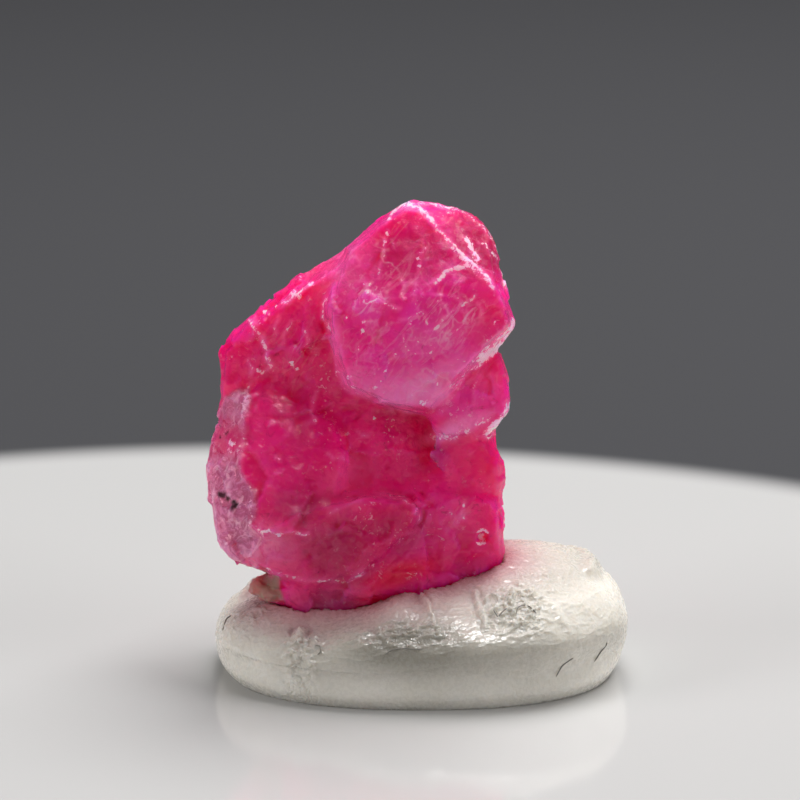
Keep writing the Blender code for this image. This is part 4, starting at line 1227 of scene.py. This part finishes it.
def table_material(settings):
    """Lacquered board, pale and glossy in a disc, with a dark matt backdrop beyond it."""
    material, tree, output, out = new_material("glossy_pale_table", {})
    location = [-value * MM for value in DISC_MIDDLE] + [0.0]
    middle = add_node(
        tree, "ShaderNodeMapping", {"Location": location}, {"Vector": out["place"]}
    ).outputs["Vector"]
    away = add_node(
        tree, "ShaderNodeVectorMath", None, {0: middle}, operation="LENGTH"
    ).outputs["Value"]
    start, end = (value * MM for value in DISC_EDGE)
    out["far"] = add_node(
        tree, "ShaderNodeMapRange",
        {"From Min": start, "From Max": end, "To Min": 0.0, "To Max": 1.0},
        {"Value": away}, interpolation_type="SMOOTHSTEP",
    ).outputs["Result"]
    colour = patterned(tree, out, (), settings.table, [("far", settings.beyond)])[0]
    gloss = add_node(
        tree, "ShaderNodeBsdfPrincipled", {"IOR": 1.5, "Roughness": 0.10}, {"Base Color": colour}
    )
    matt = add_node(tree, "ShaderNodeBsdfDiffuse", None, {"Color": colour})
    shader = add_node(
        tree, "ShaderNodeMixShader", None,
        {0: out["far"], 1: gloss.outputs[0], 2: matt.outputs[0]},
    )
    tree.links.new(shader.outputs[0], output.inputs["Surface"])
    return material


class SPECIMEN_OT_stage(bpy.types.Operator):
    """Set the table, the lights and the camera"""

    bl_idname = "specimen.stage"
    bl_label = "Stage"

    def execute(self, context):
        settings = context.scene.stage
        scene = context.scene
        corners = np.array([[-1, -1], [1, -1], [1, 1], [-1, 1]]) * TABLE_HALF_WIDTH * MM
        mesh = bpy.data.meshes.new("table")
        mesh.from_pydata([(x, y, 0.0) for x, y in corners.tolist()], [], [(0, 1, 2, 3)])
        mesh.materials.append(table_material(settings))
        new_object("table", mesh)

        world = bpy.data.worlds.new("studio")
        world.use_nodes = True
        sky = world.node_tree.nodes["Background"].inputs
        sky["Color"].default_value = (1.0, 1.0, 1.0, 1.0)
        sky["Strength"].default_value = ROOM_LIGHT
        scene.world = world
        target = Vector(AIM) * MM
        for name, (place, width, watts) in LAMPS.items():
            light = bpy.data.lights.new(name, "AREA")
            light.shape = "SQUARE"
            light.size = width * MM
            light.energy = watts
            lamp = bpy.data.objects.new(name, light)
            lamp.location = Vector(place) * MM
            lamp.visible_glossy = name == "glint"
            lamp.visible_diffuse = name != "glint"
            lamp.rotation_euler = (lamp.location - target).to_track_quat("Z", "Y").to_euler()
            scene.collection.objects.link(lamp)

        camera = bpy.data.cameras.new("camera")
        camera.sensor_fit = "HORIZONTAL"
        camera.angle = 2.0 * math.atan(settings.half_view / settings.distance)
        camera.clip_start, camera.clip_end = CLIPPING
        eye = bpy.data.objects.new("camera", camera)
        back = Vector((0.0, -math.cos(settings.elevation), math.sin(settings.elevation)))
        eye.location = target + back * settings.distance
        eye.rotation_euler = back.to_track_quat("Z", "Y").to_euler()
        scene.collection.objects.link(eye)
        scene.camera = eye
        scene.view_settings.view_transform = "Standard"
        return {"FINISHED"}


class SPECIMEN_PT_panel(bpy.types.Panel):
    """Lists the specimen's settings and pieces."""

    bl_label = "Raw ruby specimen"
    bl_idname = "SPECIMEN_PT_panel"
    bl_space_type = "VIEW_3D"
    bl_region_type = "UI"
    bl_category = "Specimen"

    def draw(self, context):
        for group, steps in (
            ("ruby", ("crystal",)), ("putty", ("putty", "hairs")), ("stage", ("stage",)),
        ):
            box = self.layout.box()
            settings = getattr(context.scene, group)
            for name in settings.bl_rna.properties.keys():
                if name not in ("rna_type", "name"):
                    box.prop(settings, name)
            for step in steps:
                box.operator("specimen." + step)


CLASSES = (
    RubySettings, PuttySettings, StageSettings, SPECIMEN_OT_crystal, SPECIMEN_OT_putty,
    SPECIMEN_OT_hairs, SPECIMEN_OT_stage, SPECIMEN_PT_panel,
)


def register():
    """Registers the classes and hangs the settings on the scene."""
    for cls in CLASSES:
        bpy.utils.register_class(cls)
    bpy.types.Scene.ruby = PointerProperty(type=RubySettings)
    bpy.types.Scene.putty = PointerProperty(type=PuttySettings)
    bpy.types.Scene.stage = PointerProperty(type=StageSettings)


def unregister():
    """Takes the settings and the classes away again."""
    for name in ("ruby", "putty", "stage"):
        delattr(bpy.types.Scene, name)
    for cls in reversed(CLASSES):
        bpy.utils.unregister_class(cls)


def main():
    """Builds every piece in order."""
    register()
    for step in ("crystal", "putty", "hairs", "stage"):
        getattr(bpy.ops.specimen, step)()


if __name__ == "__main__":
    main()
